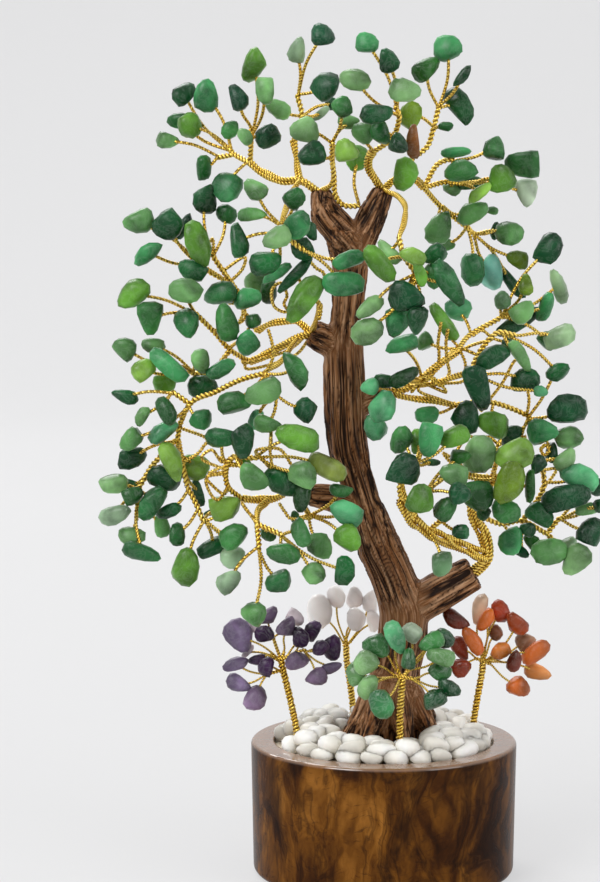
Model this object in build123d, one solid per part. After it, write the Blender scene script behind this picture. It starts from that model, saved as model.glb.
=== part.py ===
from build123d import *
from itertools import combinations
from math import cos, degrees, hypot, pi, radians, sin
import os
import random

# A gemstone tree ornament: a resin trunk in a turned wooden pot, six boughs of
# twisted wire that fan into sprays, tumbled stone chips on every twig, and four
# small stone trees that stand among the pebbles round the trunk.
# Frame: millimetres, +Z up, +Y away from the viewer, origin under the pot's middle.

# Pot and its filling
POT_HEIGHT = 45.0
POT_RIM_DIAMETER = 90.0
POT_FOOT_DIAMETER = 88.4
POT_RIM_BEVEL = 1.0
POT_FOOT_BEVEL = 1.6
WELL_DIAMETER = 74.0
WELL_DEPTH = 33.0
FILL_BELOW_RIM = 1.8
CUT_OVERRUN = 2.0
CRUMB_SIZE = 1.5

# Trunk
TRUNK_OFF_AXIS = 1.5
TENON_DIAMETER = 14.0
TENON_LENGTH = 9.0
FLUTE_TWIST = 2

# Wires: width over the twisted strands
TWIG_WIDTH = 1.1
TWIG_LEAN_SHARE = 0.7
FORK_SHARES = [0.3, 0.7, 1.1, 0.5, 0.9]
STEM_WIDTH = 1.5
BOUGH_WIDTH = 2.6
HEAVY_BOUGH_WIDTH = 4.6
MINI_STEM_WIDTH = 2.5
MINI_STEM_SINK = 7.0

# Stones
CHIP_THICKNESS = 4.6
THIN_CHIP_SHARE = 0.8
CHIP_YAW = 22
CHIP_TIP = 18
CHIP_YAW_STEP = 2.4
CHIP_TIP_STEP = 1.7
CHIP_FACE_SHARE = 0.56
CHIP_RADIUS_SHARES = (0.94, 1.14)
CHIP_ANGLE_JITTER = 0.16
CHIP_LEVEL_JITTER = 0.12
PEBBLE_LENGTH = 9.0
PEBBLE_WIDTH = 7.0
PEBBLE_HEIGHT = 6.2
PEBBLE_GAP = 0.5
PEBBLE_CLEAR_OF_STEM = 5.8

# The crown's scale: how much one picture pixel stands for at the trunk
PIXEL = 0.3355

# The view that the pixel places belong to, and how far the crown's depths spread
VIEW_PX = 2700
VIEW_PITCH = 6.34
CENTRE_PX = (300, 441)
FOOT_PX = (388, 744)
CROWN_DEPTH_SHARE = 1.35

# Counts
TWIG_SIDES = 3
STEM_SIDES = 4
BOUGH_SIDES = 6
STUB_SIDES = 8
FLUTES = 7

# A path steeper than this share along Y takes its sections' sides from X, and each
# wire is rolled by so many radians more than the last
STEEP = 0.9
ROLL_STEP = 0.7

FILL_TOP = POT_HEIGHT - FILL_BELOW_RIM
WELL_FLOOR = POT_HEIGHT - WELL_DEPTH

# Trunk stations from the foot up: down, left edge, right edge, deep (pixels),
# and how deep the bark's flutes cut, as a share of the radius.
TRUNK_PX = [
    (744, 341, 434, 0),
    (730, 346, 429, 0),
    (714, 353, 425, 0),
    (694, 363, 420, 0),
    (668, 373, 420, 0),
    (640, 377, 427, 0),
    (612, 379, 430, 0),
    (590, 375, 421, 0),
    (570, 368, 412, 2),
    (548, 357, 402, 4),
    (524, 352, 391, 5),
    (500, 348, 380, 5),
    (474, 338, 373, 4),
    (448, 328, 369, 2),
    (416, 325, 366, 0),
    (384, 324, 366, -2),
    (352, 324, 364, -3),
    (318, 331, 362, -3),
    (284, 333, 366, -2),
    (258, 331, 369, 0),
    (244, 328, 371, 0),
    (232, 327, 375, 0),
]
FLUTE_SHARES = [0.24, 0.22, 0.20, 0.18] + [0.15] * (len(TRUNK_PX) - 4)
TRUNK_DEPTH_SHARE = 0.9

# Cut stubs: root, middle and end of each (across, down, deep), then the widths there.
STUBS_PX = {
    "top_left": [(350, 243, 0), (325, 213, 0), (320, 190, 0), (34, 27, 14)],
    "top_right": [(360, 242, 0), (373, 214, 0), (383, 191, 0), (28, 24, 16)],
    "mid_left": [(345, 350, 0), (329, 341, -3), (312, 333, -5), (34, 28, 22)],
    "right_mid": [(350, 408, 0), (370, 399, 2), (390, 392, 5), (28, 22, 17)],
    "lower_left": [(358, 508, 5), (332, 498, 0), (309, 494, -5), (28, 23, 18)],
    "lower_right": [(402, 612, 0), (438, 592, 0), (473, 573, -2), (42, 35, 30)],
}

# Boughs: strands of (across, down, deep), each starting at a stub's end or on
# another strand of the same bough.
BOUGHS_PX = {
    "top_left": [
        [(320, 192, 0), (300, 180, 0), (281, 180, 5), (262, 172, 15), (250, 163, 20)],
        [(300, 180, 0), (297, 162, 12), (294, 140, 18)],
        [(320, 192, 0), (332, 182, -15), (332, 160, -26)],
        [(300, 180, 0), (288, 202, -32), (282, 225, -60)],
    ],
    "top_right": [
        [(383, 190, 0), (371, 172, -8), (369, 160, -15), (373, 152, -20)],
        [(383, 190, 0), (398, 177, 12), (415, 180, 20), (424, 188, 25)],
        [(383, 190, 0), (398, 196, -25), (406, 212, -48), (399, 237, -80)],
    ],
    "mid_left": [
        [(312, 333, -5), (298, 337, -2), (280, 346, 4), (265, 355, 10), (250, 362, 15)],
        [(312, 333, -5), (298, 322, 5), (276, 322, 15), (257, 331, 25)],
        [(298, 337, -2), (284, 358, -32), (265, 373, -55)],
        [(312, 333, -5), (316, 318, -28), (320, 306, -52)],
    ],
    "right_mid": [
        [(390, 392, 5), (410, 387, 5), (430, 373, 6), (445, 360, 12), (458, 350, 20)],
        [(390, 392, 5), (412, 398, 2), (434, 401, 0), (455, 405, 0)],
        [(410, 387, 5), (426, 384, -12), (447, 379, -25), (470, 372, -35)],
    ],
    "lower_left": [
        [(309, 494, -5), (295, 487, -12), (282, 495, -22), (268, 500, -32), (242, 499, -42)],
        [(268, 500, -32), (258, 510, -46), (257, 524, -60)],
        [(309, 494, -5), (304, 504, -25), (308, 514, -42)],
    ],
    "lower_right": [
        [(473, 573, -2), (487, 556, -6), (484, 536, -8), (474, 512, -10), (480, 494, -10),
         (492, 478, -10)],
        [(487, 556, -6), (470, 551, -18), (450, 542, -32), (428, 531, -50), (410, 518, -60), (401, 500, -65)],
    ],
}

# Sprays: how deep each lies, its strands (across, down, deep), and its chips
# (across, down, deeper, long, short, turn). All are pixels but the turn, which is
# in degrees from level.
SPRAYS_PX = {
    "peak": (25, [
        [(294, 140, 18), (302, 118, 22), (298, 98, 25), (298, 80, 25)],
        [(332, 160, -26), (332, 145, -36), (335, 128, -40)],
        [(332, 160, -26), (334, 178, -20), (335, 194, -16), (343, 205, -14), (357, 206, -11),
         (373, 199, -7)],
    ], [
        (296, 49, 0, 22, 15, 90), (323, 34, -12, 20, 20, 0), (326, 85, -14, 26, 24, 0),
        (276, 108, -8, 28, 16, -20), (320, 114, 14, 20, 8, 27), (332, 104, 24, 14, 12, 0),
        (343, 107, -72, 18, 17, 0), (349, 123, -50, 19, 14, 0), (304, 129, -68, 27, 25, 30),
        (311, 153, -82, 26, 21, 10), (345, 150, -82, 20, 20, 0), (358, 158, -4, 24, 22, 0),
    ]),
    "upper_left": (20, [
        [(250, 163, 20), (251, 140, 10), (252, 113, 0)],
        [(250, 163, 20), (234, 154, 32), (217, 131, 42)],
        [(234, 154, 32), (220, 157, 40), (206, 154, 45)],
    ], [
        (255, 66, -20, 32, 22, 70), (238, 97, -26, 21, 17, 90), (265, 91, -36, 24, 17, 80),
        (268, 136, -28, 22, 22, 0), (244, 137, -40, 17, 14, 90), (183, 93, 30, 23, 17, 60),
        (208, 96, 18, 31, 24, 70), (179, 121, 38, 23, 13, 10), (191, 126, 16, 23, 20, 70),
        (230, 130, 12, 16, 14, 0), (167, 141, 30, 20, 14, 0), (204, 169, 18, 22, 15, 90),
        (227, 187, 4, 27, 26, 0),
    ]),
    "left_shoulder": (-75, [
        [(282, 225, -60), (280, 232, -72), (266, 244, -75)],
        [(280, 232, -72), (298, 246, -78), (322, 262, -80)],
    ], [
        (295, 199, 8, 20, 19, 0), (255, 190, 6, 26, 17, -20), (252, 214, 10, 26, 12, 0),
        (298, 226, -10, 26, 24, 0), (311, 231, 12, 18, 12, 90), (276, 239, -18, 26, 20, 20),
        (303, 250, 4, 20, 20, 0), (267, 262, -6, 28, 21, 0), (239, 240, 4, 31, 18, 100),
        (277, 273, 14, 31, 11, 30), (348, 260, -8, 31, 16, 15), (342, 284, -6, 37, 21, -10),
    ]),
    "left_fan": (20, [
        [(257, 331, 25), (243, 310, 25), (235, 288, 22), (206, 270, 20), (178, 253, 20)],
        [(235, 288, 22), (214, 258, 15), (209, 234, 12)],
    ], [
        (139, 222, 0, 26, 24, 45), (168, 224, -10, 27, 24, 20), (184, 228, 10, 27, 12, 60),
        (148, 253, -12, 32, 16, 20), (192, 270, -16, 26, 19, -25), (204, 199, 4, 24, 21, 90),
        (226, 214, 8, 18, 16, 0), (197, 244, -18, 44, 24, -65), (248, 299, -14, 23, 21, 0),
        (256, 285, 16, 28, 24, 90), (268, 292, 2, 23, 18, 90), (220, 293, -14, 30, 20, 0),
    ]),
    "left_long": (-15, [
        [(250, 362, 15), (230, 350, 0), (215, 333, -8), (198, 316, -12), (184, 305, -15)],
        [(230, 350, 0), (212, 372, -8), (195, 374, -10), (180, 358, -15)],
    ], [
        (132, 294, 0, 31, 22, 35), (186, 290, -14, 27, 24, 0), (150, 318, -4, 27, 25, 90),
        (186, 323, -10, 30, 21, 90), (225, 322, -18, 37, 19, 110), (124, 348, 6, 22, 20, 90),
        (153, 345, 4, 21, 16, 0), (143, 371, -12, 22, 19, 0), (168, 365, -18, 40, 15, -35),
        (201, 362, -16, 22, 18, 90), (220, 369, -14, 28, 14, 35), (203, 385, 2, 24, 20, 0),
        (164, 383, 4, 21, 19, 0), (248, 342, -14, 22, 21, 0), (253, 321, -8, 14, 13, 0),
    ]),
    "left_middle": (-60, [
        [(265, 373, -55), (276, 392, -60), (279, 410, -62)],
        [(320, 306, -52), (316, 296, -60)],
    ], [
        (296, 369, -12, 36, 19, 115), (262, 392, -14, 30, 25, 20), (306, 410, 4, 22, 22, 0),
        (234, 401, 0, 31, 19, 0), (256, 419, 14, 18, 15, 90), (268, 425, -4, 24, 18, 0),
        (304, 297, -22, 50, 23, 60), (296, 275, -6, 38, 11, 48),
    ]),
    "left_low": (-38, [
        [(265, 373, -55), (240, 380, -50), (215, 392, -45), (190, 404, -40), (178, 438, -36),
         (187, 486, -40)],
        [(190, 404, -40), (174, 393, -38), (155, 397, -38)],
    ], [
        (125, 397, 6, 25, 13, 0), (142, 416, -6, 19, 12, 60), (166, 411, -14, 29, 16, 110),
        (163, 431, -6, 27, 19, 30), (200, 420, -12, 21, 18, 0), (131, 440, -4, 24, 18, 50),
        (132, 458, 10, 29, 18, 20), (172, 462, -16, 37, 19, 110), (164, 478, 4, 30, 22, 0),
        (193, 466, 10, 25, 24, 0), (198, 492, 12, 25, 9, 105),
    ]),
    "low_left_tips": (-35, [
        [(178, 438, -36), (158, 459, -30), (150, 469, -30), (139, 488, -33), (135, 506, -35)],
        [(187, 486, -40), (197, 506, -42), (203, 520, -44), (220, 526, -40)],
    ], [
        (113, 484, 0, 26, 18, 0), (131, 485, 12, 14, 11, 0), (133, 496, -8, 20, 16, 0),
        (151, 503, -14, 30, 22, 40), (115, 515, -8, 28, 18, 25), (131, 537, -4, 26, 16, -15),
        (142, 553, -14, 35, 17, -20), (169, 511, -4, 25, 14, 35), (162, 526, 10, 20, 15, 100),
        (177, 535, -8, 20, 17, 90), (187, 569, -14, 36, 25, 70), (212, 548, 2, 32, 15, 20),
        (234, 537, -16, 26, 22, 40), (234, 557, 0, 22, 20, 0), (226, 509, -14, 27, 22, 0),
        (213, 512, 8, 16, 8, 20),
    ]),
    "low_left_inner": (-68, [
        [(242, 499, -42), (228, 487, -52), (226, 470, -60), (233, 457, -66), (254, 458, -70),
         (271, 447, -72)],
    ], [
        (243, 441, -18, 32, 23, 90), (222, 438, -2, 35, 17, -5), (246, 464, 10, 21, 9, 115),
        (298, 437, -16, 46, 25, -15), (303, 474, -10, 26, 24, 0), (328, 466, 4, 38, 22, -25),
        (253, 479, -14, 33, 23, -30), (280, 481, 0, 31, 24, -20),
    ]),
    "low_left_drop": (-72, [
        [(257, 524, -60), (259, 545, -70), (257, 560, -74)],
        [(257, 524, -60), (278, 533, -68), (295, 547, -72)],
        [(308, 514, -42), (314, 520, -52)],
    ], [
        (229, 581, 0, 25, 18, 40), (254, 613, -6, 23, 20, 0), (279, 582, -6, 25, 21, -35),
        (268, 534, 20, 16, 12, -45), (283, 554, -10, 31, 19, 0), (314, 574, 0, 21, 20, 0),
        (345, 571, -4, 26, 20, 90), (300, 532, -10, 27, 20, 100), (345, 513, 8, 29, 26, 0),
        (347, 539, 2, 25, 22, 90), (320, 546, 16, 30, 24, -40), (302, 496, 0, 26, 16, 90),
        (341, 491, 14, 21, 12, -20), (295, 517, 24, 12, 8, 90),
    ]),
    "top_right": (-45, [
        [(373, 152, -20), (392, 138, -30), (399, 118, -38), (390, 90, -45)],
    ], [
        (367, 43, 0, 20, 19, 0), (355, 80, 6, 27, 18, 0), (389, 62, -8, 21, 18, 90),
        (405, 92, -10, 27, 21, 0), (376, 114, -16, 30, 18, 0), (363, 132, 10, 20, 18, 0),
        (380, 133, 0, 22, 18, 90), (399, 144, -10, 18, 17, 0), (413, 142, 6, 30, 13, 90),
    ]),
    "right_peak": (15, [
        [(398, 177, 12), (411, 160, 14), (427, 147, 15), (433, 130, 15), (438, 110, 15), (442, 90, 15)],
    ], [
        (449, 47, 0, 24, 23, 0), (426, 68, -10, 26, 18, 30), (463, 76, -12, 25, 9, 45),
        (460, 105, 4, 38, 20, -60), (410, 114, -14, 24, 19, 90), (446, 127, -12, 14, 8, 0),
    ]),
    "right_shoulder": (35, [
        [(424, 188, 25), (436, 166, 32), (448, 160, 35), (474, 163, 38)],
        [(424, 188, 25), (447, 182, 36), (490, 186, 40)],
    ], [
        (405, 175, -47, 28, 28, 0), (458, 152, 0, 28, 11, 3), (461, 171, -14, 31, 20, 0),
        (452, 190, 8, 15, 12, 0), (470, 184, 8, 24, 15, 0), (479, 193, -10, 24, 11, 30),
        (494, 147, -4, 21, 20, 0), (502, 178, -10, 26, 25, 0), (522, 164, 4, 31, 22, 20),
        (526, 193, 10, 27, 19, 75),
    ]),
    "right_fan": (60, [
        [(424, 188, 25), (440, 206, 45), (465, 226, 58), (487, 247, 62)],
    ], [
        (439, 228, -18, 32, 24, 80), (447, 245, 10, 15, 12, 0), (473, 213, -10, 29, 19, 15),
        (491, 210, 6, 13, 7, -10), (495, 231, 16, 17, 9, 90), (509, 233, -6, 25, 22, 0),
        (517, 259, 4, 20, 18, 0), (471, 271, -10, 28, 23, 90), (491, 273, 6, 32, 21, 90),
        (510, 281, 14, 36, 12, -55),
    ]),
    "right_middle": (-85, [
        [(399, 237, -80), (404, 256, -85), (415, 272, -85), (426, 292, -85)],
    ], [
        (380, 264, -10, 38, 19, -45), (388, 252, 8, 30, 13, -45), (413, 256, -14, 23, 14, -20),
        (421, 273, -14, 25, 11, 100), (434, 253, 4, 24, 18, 0), (435, 275, 10, 27, 17, 80),
        (449, 283, -8, 46, 18, -60), (406, 297, -8, 33, 29, 0), (370, 307, 0, 30, 15, 45),
        (367, 331, 4, 28, 25, 60), (396, 321, 10, 26, 23, 0), (417, 322, -8, 28, 18, 80),
    ]),
    "right_long_upper": (50, [
        [(458, 350, 20), (470, 335, 36), (500, 318, 46), (524, 298, 50)],
    ], [
        (525, 284, -12, 18, 14, 90), (549, 248, 0, 27, 24, 70), (558, 285, 6, 36, 15, 110),
        (502, 300, -12, 17, 14, 0), (523, 313, -14, 25, 18, 20), (518, 322, 8, 46, 14, 30),
        (545, 308, 2, 28, 12, 75), (443, 322, -26, 38, 18, -50), (457, 309, 0, 24, 20, 0),
        (548, 341, 8, 18, 18, 0), (508, 343, -8, 13, 12, 0), (424, 341, -12, 18, 16, 90),
    ]),
    "right_long": (-30, [
        [(470, 372, -35), (481, 350, -32), (497, 333, -30), (535, 338, -28)],
        [(470, 372, -35), (497, 387, -35)],
        [(426, 384, -12), (412, 368, -28)],
        [(390, 392, 5), (392, 400, -20)],
    ], [
        (492, 357, -14, 31, 20, 15), (560, 337, 4, 30, 18, 25), (521, 356, -8, 34, 12, -60),
        (526, 379, 2, 25, 22, 0), (541, 391, -8, 12, 11, 0), (558, 372, 8, 21, 16, 25),
        (402, 345, -10, 29, 16, 10), (404, 377, -20, 30, 14, 25), (386, 381, -6, 20, 13, 0),
        (478, 387, -22, 42, 22, 105), (370, 388, -18, 16, 15, 0), (382, 406, -20, 30, 25, 90),
        (374, 427, -6, 26, 20, 90),
    ]),
    "right_low": (5, [
        [(455, 405, 0), (490, 402, 4), (528, 416, 6), (526, 436, 2)],
    ], [
        (465, 416, -16, 31, 23, 70), (428, 415, -10, 21, 15, 0), (494, 424, -14, 30, 22, -15),
        (511, 435, 2, 22, 17, 30), (567, 409, 0, 39, 30, 10), (543, 430, -12, 26, 24, 0),
        (569, 437, 4, 28, 20, 20), (552, 453, 6, 20, 14, 90),
    ]),
    "low_right_inner": (-70, [
        [(401, 500, -65), (400, 484, -70), (411, 466, -74)],
        [(401, 500, -65), (424, 494, -72), (438, 480, -74)],
        [(428, 531, -50), (440, 521, -58), (452, 514, -62)],
        [(411, 466, -74), (430, 456, -76)],
        [(428, 531, -50), (438, 543, -62)],
    ], [
        (402, 440, 6, 24, 20, 70), (403, 468, -18, 32, 28, -20), (418, 441, 16, 20, 14, 90),
        (430, 439, -6, 29, 23, 80), (453, 438, 6, 28, 19, 25), (460, 457, 14, 18, 14, 0),
        (421, 500, -16, 28, 25, -60), (455, 474, -4, 28, 20, -40), (446, 508, -6, 24, 19, 60),
        (458, 495, -18, 22, 18, 90), (461, 532, 0, 16, 13, 0), (442, 564, 0, 22, 19, 90),
        (431, 462, 14, 17, 7, 0),
    ]),
    "low_right_top": (-30, [
        [(492, 478, -10), (470, 474, -20), (452, 458, -26)],
        [(492, 478, -10), (497, 458, -24), (500, 446, -26)],
    ], [
        (480, 453, -10, 32, 28, 80), (477, 494, -14, 32, 27, -15), (516, 457, -12, 34, 29, 15),
        (512, 484, -22, 38, 31, 75), (530, 487, -2, 29, 11, 85), (507, 511, -12, 29, 21, -15),
        (484, 514, 0, 14, 12, 0),
    ]),
    "low_right_outer": (2, [
        [(474, 512, -10), (500, 524, -4), (522, 521, 0), (547, 534, 4)],
        [(522, 521, 0), (536, 502, 0), (544, 486, 0), (542, 464, 2), (540, 450, 4)],
        [(547, 534, 4), (558, 520, 6), (578, 514, 8)],
        [(547, 534, 4), (562, 548, 2)],
    ], [
        (537, 464, -14, 18, 14, 15), (566, 460, 0, 25, 16, 60), (580, 476, -8, 36, 22, -30),
        (597, 488, 6, 20, 14, 100), (565, 498, -16, 44, 22, 15), (540, 514, -12, 25, 21, -20),
        (588, 509, -6, 22, 12, 0), (603, 507, -16, 20, 13, 0), (591, 531, -4, 26, 22, 60),
        (511, 540, -12, 26, 22, 90), (528, 530, -14, 15, 12, 0), (532, 542, 2, 18, 13, -60),
        (522, 552, -4, 16, 9, -30), (548, 552, -12, 36, 23, 10), (569, 545, 10, 17, 16, 90),
        (577, 561, -10, 27, 24, 45),
    ]),
}

# The four small trees: stem, then strands and chips as above.
MINI_TREES_PX = {
    "amethyst": (-20, [(297, 735, -19), (291, 703, -19), (283, 670, -21), (281, 660, -22)], [
        [(281, 660, -22), (288, 641, -26)],
        [(281, 660, -22), (274, 640, -16), (273, 628, -16)],
        [(281, 660, -22), (303, 650, -32), (313, 662, -30)],
        [(283, 670, -21), (268, 674, -24), (256, 680, -24)],
        [(281, 660, -22), (262, 650, -14)],
    ], [
        (240, 637, -6, 33, 26, -45), (254, 627, 8, 16, 11, -30), (264, 634, -10, 20, 18, 0),
        (268, 616, 0, 22, 16, 70), (295, 617, 12, 20, 15, -20), (287, 627, -10, 24, 18, 10),
        (301, 637, -14, 20, 15, 90), (311, 632, 6, 22, 14, 70), (320, 649, -20, 19, 16, 20),
        (331, 648, 0, 27, 18, 110), (331, 667, -10, 21, 12, 10), (316, 677, -16, 22, 17, 0),
        (296, 660, -26, 22, 19, 0), (235, 664, -6, 26, 14, 12), (247, 652, 10, 18, 8, 50),
        (258, 660, 6, 20, 13, 10), (266, 667, -14, 21, 17, 60), (239, 685, -2, 24, 17, -25),
        (257, 698, -10, 26, 20, 60),
    ]),
    "quartz": (86, [(353, 713, 86), (351, 690, 86), (347, 663, 86), (346, 645, 86)], [
        [(346, 645, 86), (344, 622, 88)],
        [(346, 645, 86), (332, 630, 82)],
        [(346, 645, 86), (362, 633, 92)],
    ], [
        (319, 612, -6, 33, 27, 100), (336, 597, 0, 23, 18, 90), (354, 597, 6, 22, 18, 90),
        (356, 618, -10, 23, 18, 90), (370, 602, 4, 23, 16, 100), (374, 622, 0, 21, 13, 90),
    ]),
    "aventurine": (-80, [(400, 748, -78), (400, 715, -78), (402, 684, -78), (402, 677, -78)], [
        [(402, 677, -78), (388, 660, -84)],
        [(402, 677, -78), (381, 674, -84)],
        [(402, 677, -78), (421, 658, -84)],
        [(402, 677, -78), (428, 681, -84)],
    ], [
        (377, 645, 0, 28, 24, -30), (396, 638, -14, 38, 20, -65), (412, 633, 4, 20, 18, 0),
        (409, 659, -20, 19, 17, 90), (430, 642, -8, 28, 18, 20), (444, 638, 10, 20, 17, -40),
        (441, 657, -16, 26, 19, -15), (440, 672, 0, 26, 16, -10), (449, 688, -6, 25, 19, -40),
        (435, 700, -16, 24, 19, 10), (367, 662, -12, 26, 21, -10), (355, 673, 8, 23, 17, 110),
        (369, 687, -4, 26, 20, 60), (382, 703, -20, 27, 24, 90),
    ]),
    "carnelian": (13, [(473, 728, 13), (477, 700, 13), (482, 672, 13), (483, 661, 13)], [
        [(483, 661, 13), (479, 638, 10)],
        [(483, 661, 13), (466, 655, 6)],
        [(483, 661, 13), (490, 643, 18)],
        [(483, 661, 13), (508, 657, 10)],
        [(483, 661, 13), (507, 671, 10)],
    ], [
        (456, 621, -6, 31, 15, -25), (479, 609, 8, 31, 14, 72), (487, 620, -10, 22, 15, 50),
        (500, 610, 4, 23, 18, -70), (518, 623, -6, 26, 21, -60), (496, 633, 6, 17, 14, -30),
        (461, 648, 6, 26, 15, -60), (473, 641, -12, 33, 15, -50), (461, 669, -8, 21, 19, 60),
        (501, 650, -12, 20, 17, 0), (524, 641, 10, 18, 16, 0), (535, 653, -4, 33, 18, 42),
        (515, 661, -20, 22, 14, 65), (538, 672, 8, 27, 16, -15), (519, 687, -8, 23, 20, -30),
    ]),
}


def from_aim(across, down, deep):
    """The point seen at a pixel, in pixel units from the point that the view aims at."""
    pitch = radians(VIEW_PITCH)
    right = across - CENTRE_PX[0]
    up = CENTRE_PX[1] - down
    ahead = VIEW_PX * cos(pitch) + up * sin(pitch)
    rise = up * cos(pitch) - VIEW_PX * sin(pitch)
    reach = (VIEW_PX * cos(pitch) + deep) / ahead
    return Vector(right * reach, deep, VIEW_PX * sin(pitch) + rise * reach)


def place(across, down, deep):
    """The real point seen at a pixel, with the trunk's foot standing on the filling."""
    foot = Vector(TRUNK_OFF_AXIS, 0, FILL_TOP)
    return foot + (from_aim(across, down, deep) - from_aim(*FOOT_PX, 0)) * PIXEL


def pixel_at(deep):
    """How long one picture pixel is at some depth."""
    return PIXEL * (1 + deep / VIEW_PX)


def minus(first, second):
    """The step from one point to another."""
    return tuple(a - b for a, b in zip(first, second))


def dot(first, second):
    """The product of two steps along each other."""
    return sum(a * b for a, b in zip(first, second))


def cross(first, second):
    """The step square to two others."""
    (a, b, c), (d, e, f) = first, second
    return b * f - c * e, c * d - a * f, a * e - b * d


def hull(points):
    """The convex solid over scattered points: on each face all the others lie to one side."""
    faces = []
    for corners in combinations(points, 3):
        first, second, third = corners
        normal = cross(minus(second, first), minus(third, first))
        heights = [dot(normal, minus(point, first)) for point in points if point not in corners]
        if max(heights) < 0:
            faces.append((first, second, third))
        if min(heights) > 0:
            faces.append((first, third, second))
    return Solid(Shell([Face(Wire.make_polygon(corners)) for corners in faces]))


def stone(middle, long_size, short_size, thickness, turn, yaw, tip, seed):
    """A tumbled stone: a rim of six corners between a front and a back of two."""
    chance = random.Random(seed)
    corners = []
    for count, level, spread in ((6, 0, 1), (2, -1, CHIP_FACE_SHARE), (2, 1, CHIP_FACE_SHARE)):
        start = chance.uniform(0, 2 * pi)
        for number in range(count):
            jitter = chance.uniform(-CHIP_ANGLE_JITTER, CHIP_ANGLE_JITTER)
            angle = start + 2 * pi * (number + jitter) / count
            radius = spread * chance.uniform(*CHIP_RADIUS_SHARES)
            height = level + chance.uniform(-CHIP_LEVEL_JITTER, CHIP_LEVEL_JITTER)
            corners.append((radius * cos(angle), height, radius * sin(angle)))
    frame = Pos(*middle) * Rot(tip, 0, yaw) * Rot(0, -turn, 0)
    halves = long_size / 2, thickness / 2, short_size / 2
    points = [[share * half for share, half in zip(corner, halves)] for corner in corners]
    return hull([tuple((frame * Pos(*point)).position) for point in points])


def ring_round(point, along, width, sides, roll=0):
    """Corners of a regular section of a wire or stub, square to its path and rolled about it."""
    side = along.cross(Vector(0, 1, 0) if abs(along.Y) < STEEP else Vector(1, 0, 0)).normalized()
    other = along.cross(side)
    turns = [roll + 2 * pi * step / sides for step in range(sides)]
    return [point + (side * cos(turn) + other * sin(turn)) * (width / 2) for turn in turns]


def flat_sided(rings):
    """The solid between rings of corners, with flat sides and its first and last ring as ends."""
    outlines = [rings[0], rings[-1]]
    for low, high in zip(rings, rings[1:]):
        outlines += [(low[n - 1], low[n], high[n], high[n - 1]) for n in range(len(low))]
    return Solid(Shell([Face(Wire.make_polygon(corners, close=True)) for corners in outlines]))


def tube(points, width, sides, roll=0):
    """A wire of even width through points, mitred at each bend so that its sides are flat."""
    ring = ring_round(points[0], (points[1] - points[0]).normalized(), width, sides, roll)
    rings = [ring]
    for before, point, after in zip(points, points[1:], points[2:] + points[-1:]):
        along = (point - before).normalized()
        mitre = along + (after - point).normalized() if after != point else along
        ring = [corner + along * ((point - corner).dot(mitre) / along.dot(mitre)) for corner in ring]
        rings.append(ring)
    return flat_sided(rings)


def stub(points, widths):
    """A cut branch end that narrows from its root."""
    along = (points[-1] - points[0]).normalized()
    rings = [ring_round(point, along, width, STUB_SIDES) for point, width in zip(points, widths)]
    return Solid.make_loft([Wire.make_polygon(corners, close=True) for corners in rings], ruled=True)


def strands_of(paths, width, sides):
    """Strands of even width through pixel places, each rolled so that no corners meet."""
    return [tube([place(*spot) for spot in spots], width, sides, ROLL_STEP * (number + 1))
            for number, spots in enumerate(paths)]


def joined(solids):
    """One shape fused from solids that overlap."""
    return solids[0].fuse(*solids[1:]) if len(solids) > 1 else solids[0]


def less(shape, tools):
    """What is left of a shape cut by every tool whose box reaches it, without loose crumbs."""
    box = shape.bounding_box()
    near = [tool for tool in tools if boxes_meet(box, tool.bounding_box())]
    kept = shape.cut(*near).solids() if near else shape.solids()
    kept = [solid for solid in kept if solid.bounding_box().diagonal > CRUMB_SIZE]
    return kept[0] if len(kept) == 1 else Compound(kept)


def boxes_meet(first, second):
    """Whether two bounding boxes overlap."""
    return all(low <= high for low, high in (
        (first.min.X, second.max.X), (second.min.X, first.max.X),
        (first.min.Y, second.max.Y), (second.min.Y, first.max.Y),
        (first.min.Z, second.max.Z), (second.min.Z, first.max.Z)))


def make_pot():
    """The turned pot: a slightly tapered drum with a round well and softened edges."""
    side = [(0, 0), (POT_FOOT_DIAMETER / 2, 0), (POT_RIM_DIAMETER / 2, POT_HEIGHT), (0, POT_HEIGHT)]
    drum = revolve(Plane.XZ * make_face(Polyline(*side, close=True)), Axis.Z)
    drum = chamfer(drum.edges().filter_by(GeomType.CIRCLE).sort_by(Axis.Z)[-1], POT_RIM_BEVEL)
    drum = chamfer(drum.edges().filter_by(GeomType.CIRCLE).sort_by(Axis.Z)[0], POT_FOOT_BEVEL)
    bore = WELL_DEPTH + CUT_OVERRUN
    well = Cylinder(WELL_DIAMETER / 2, bore, align=(Align.CENTER, Align.CENTER, Align.MIN))
    return drum - Pos(0, 0, WELL_FLOOR) * well


def make_fill():
    """The set plaster that holds the trunk and the small trees in the well."""
    height = FILL_TOP - WELL_FLOOR
    fill = Cylinder(WELL_DIAMETER / 2, height, align=(Align.CENTER, Align.CENTER, Align.MIN))
    return (Pos(0, 0, WELL_FLOOR) * fill).solid()


def trunk_ring(station, number):
    """The fluted section of the trunk at one station, turned a little more each time."""
    down, left, right, deep = station
    middle = place((left + right) / 2, down, deep)
    across = (right - left) / 2 * pixel_at(deep)
    points = []
    for step in range(2 * FLUTES):
        angle = pi * step / FLUTES + radians(FLUTE_TWIST) * number
        ridge = 1 - FLUTE_SHARES[number] * (step % 2)
        inwards = across * TRUNK_DEPTH_SHARE
        points.append(middle + Vector(across * ridge * cos(angle), inwards * ridge * sin(angle), 0))
    return Wire.make_polygon(points, close=True)


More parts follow.
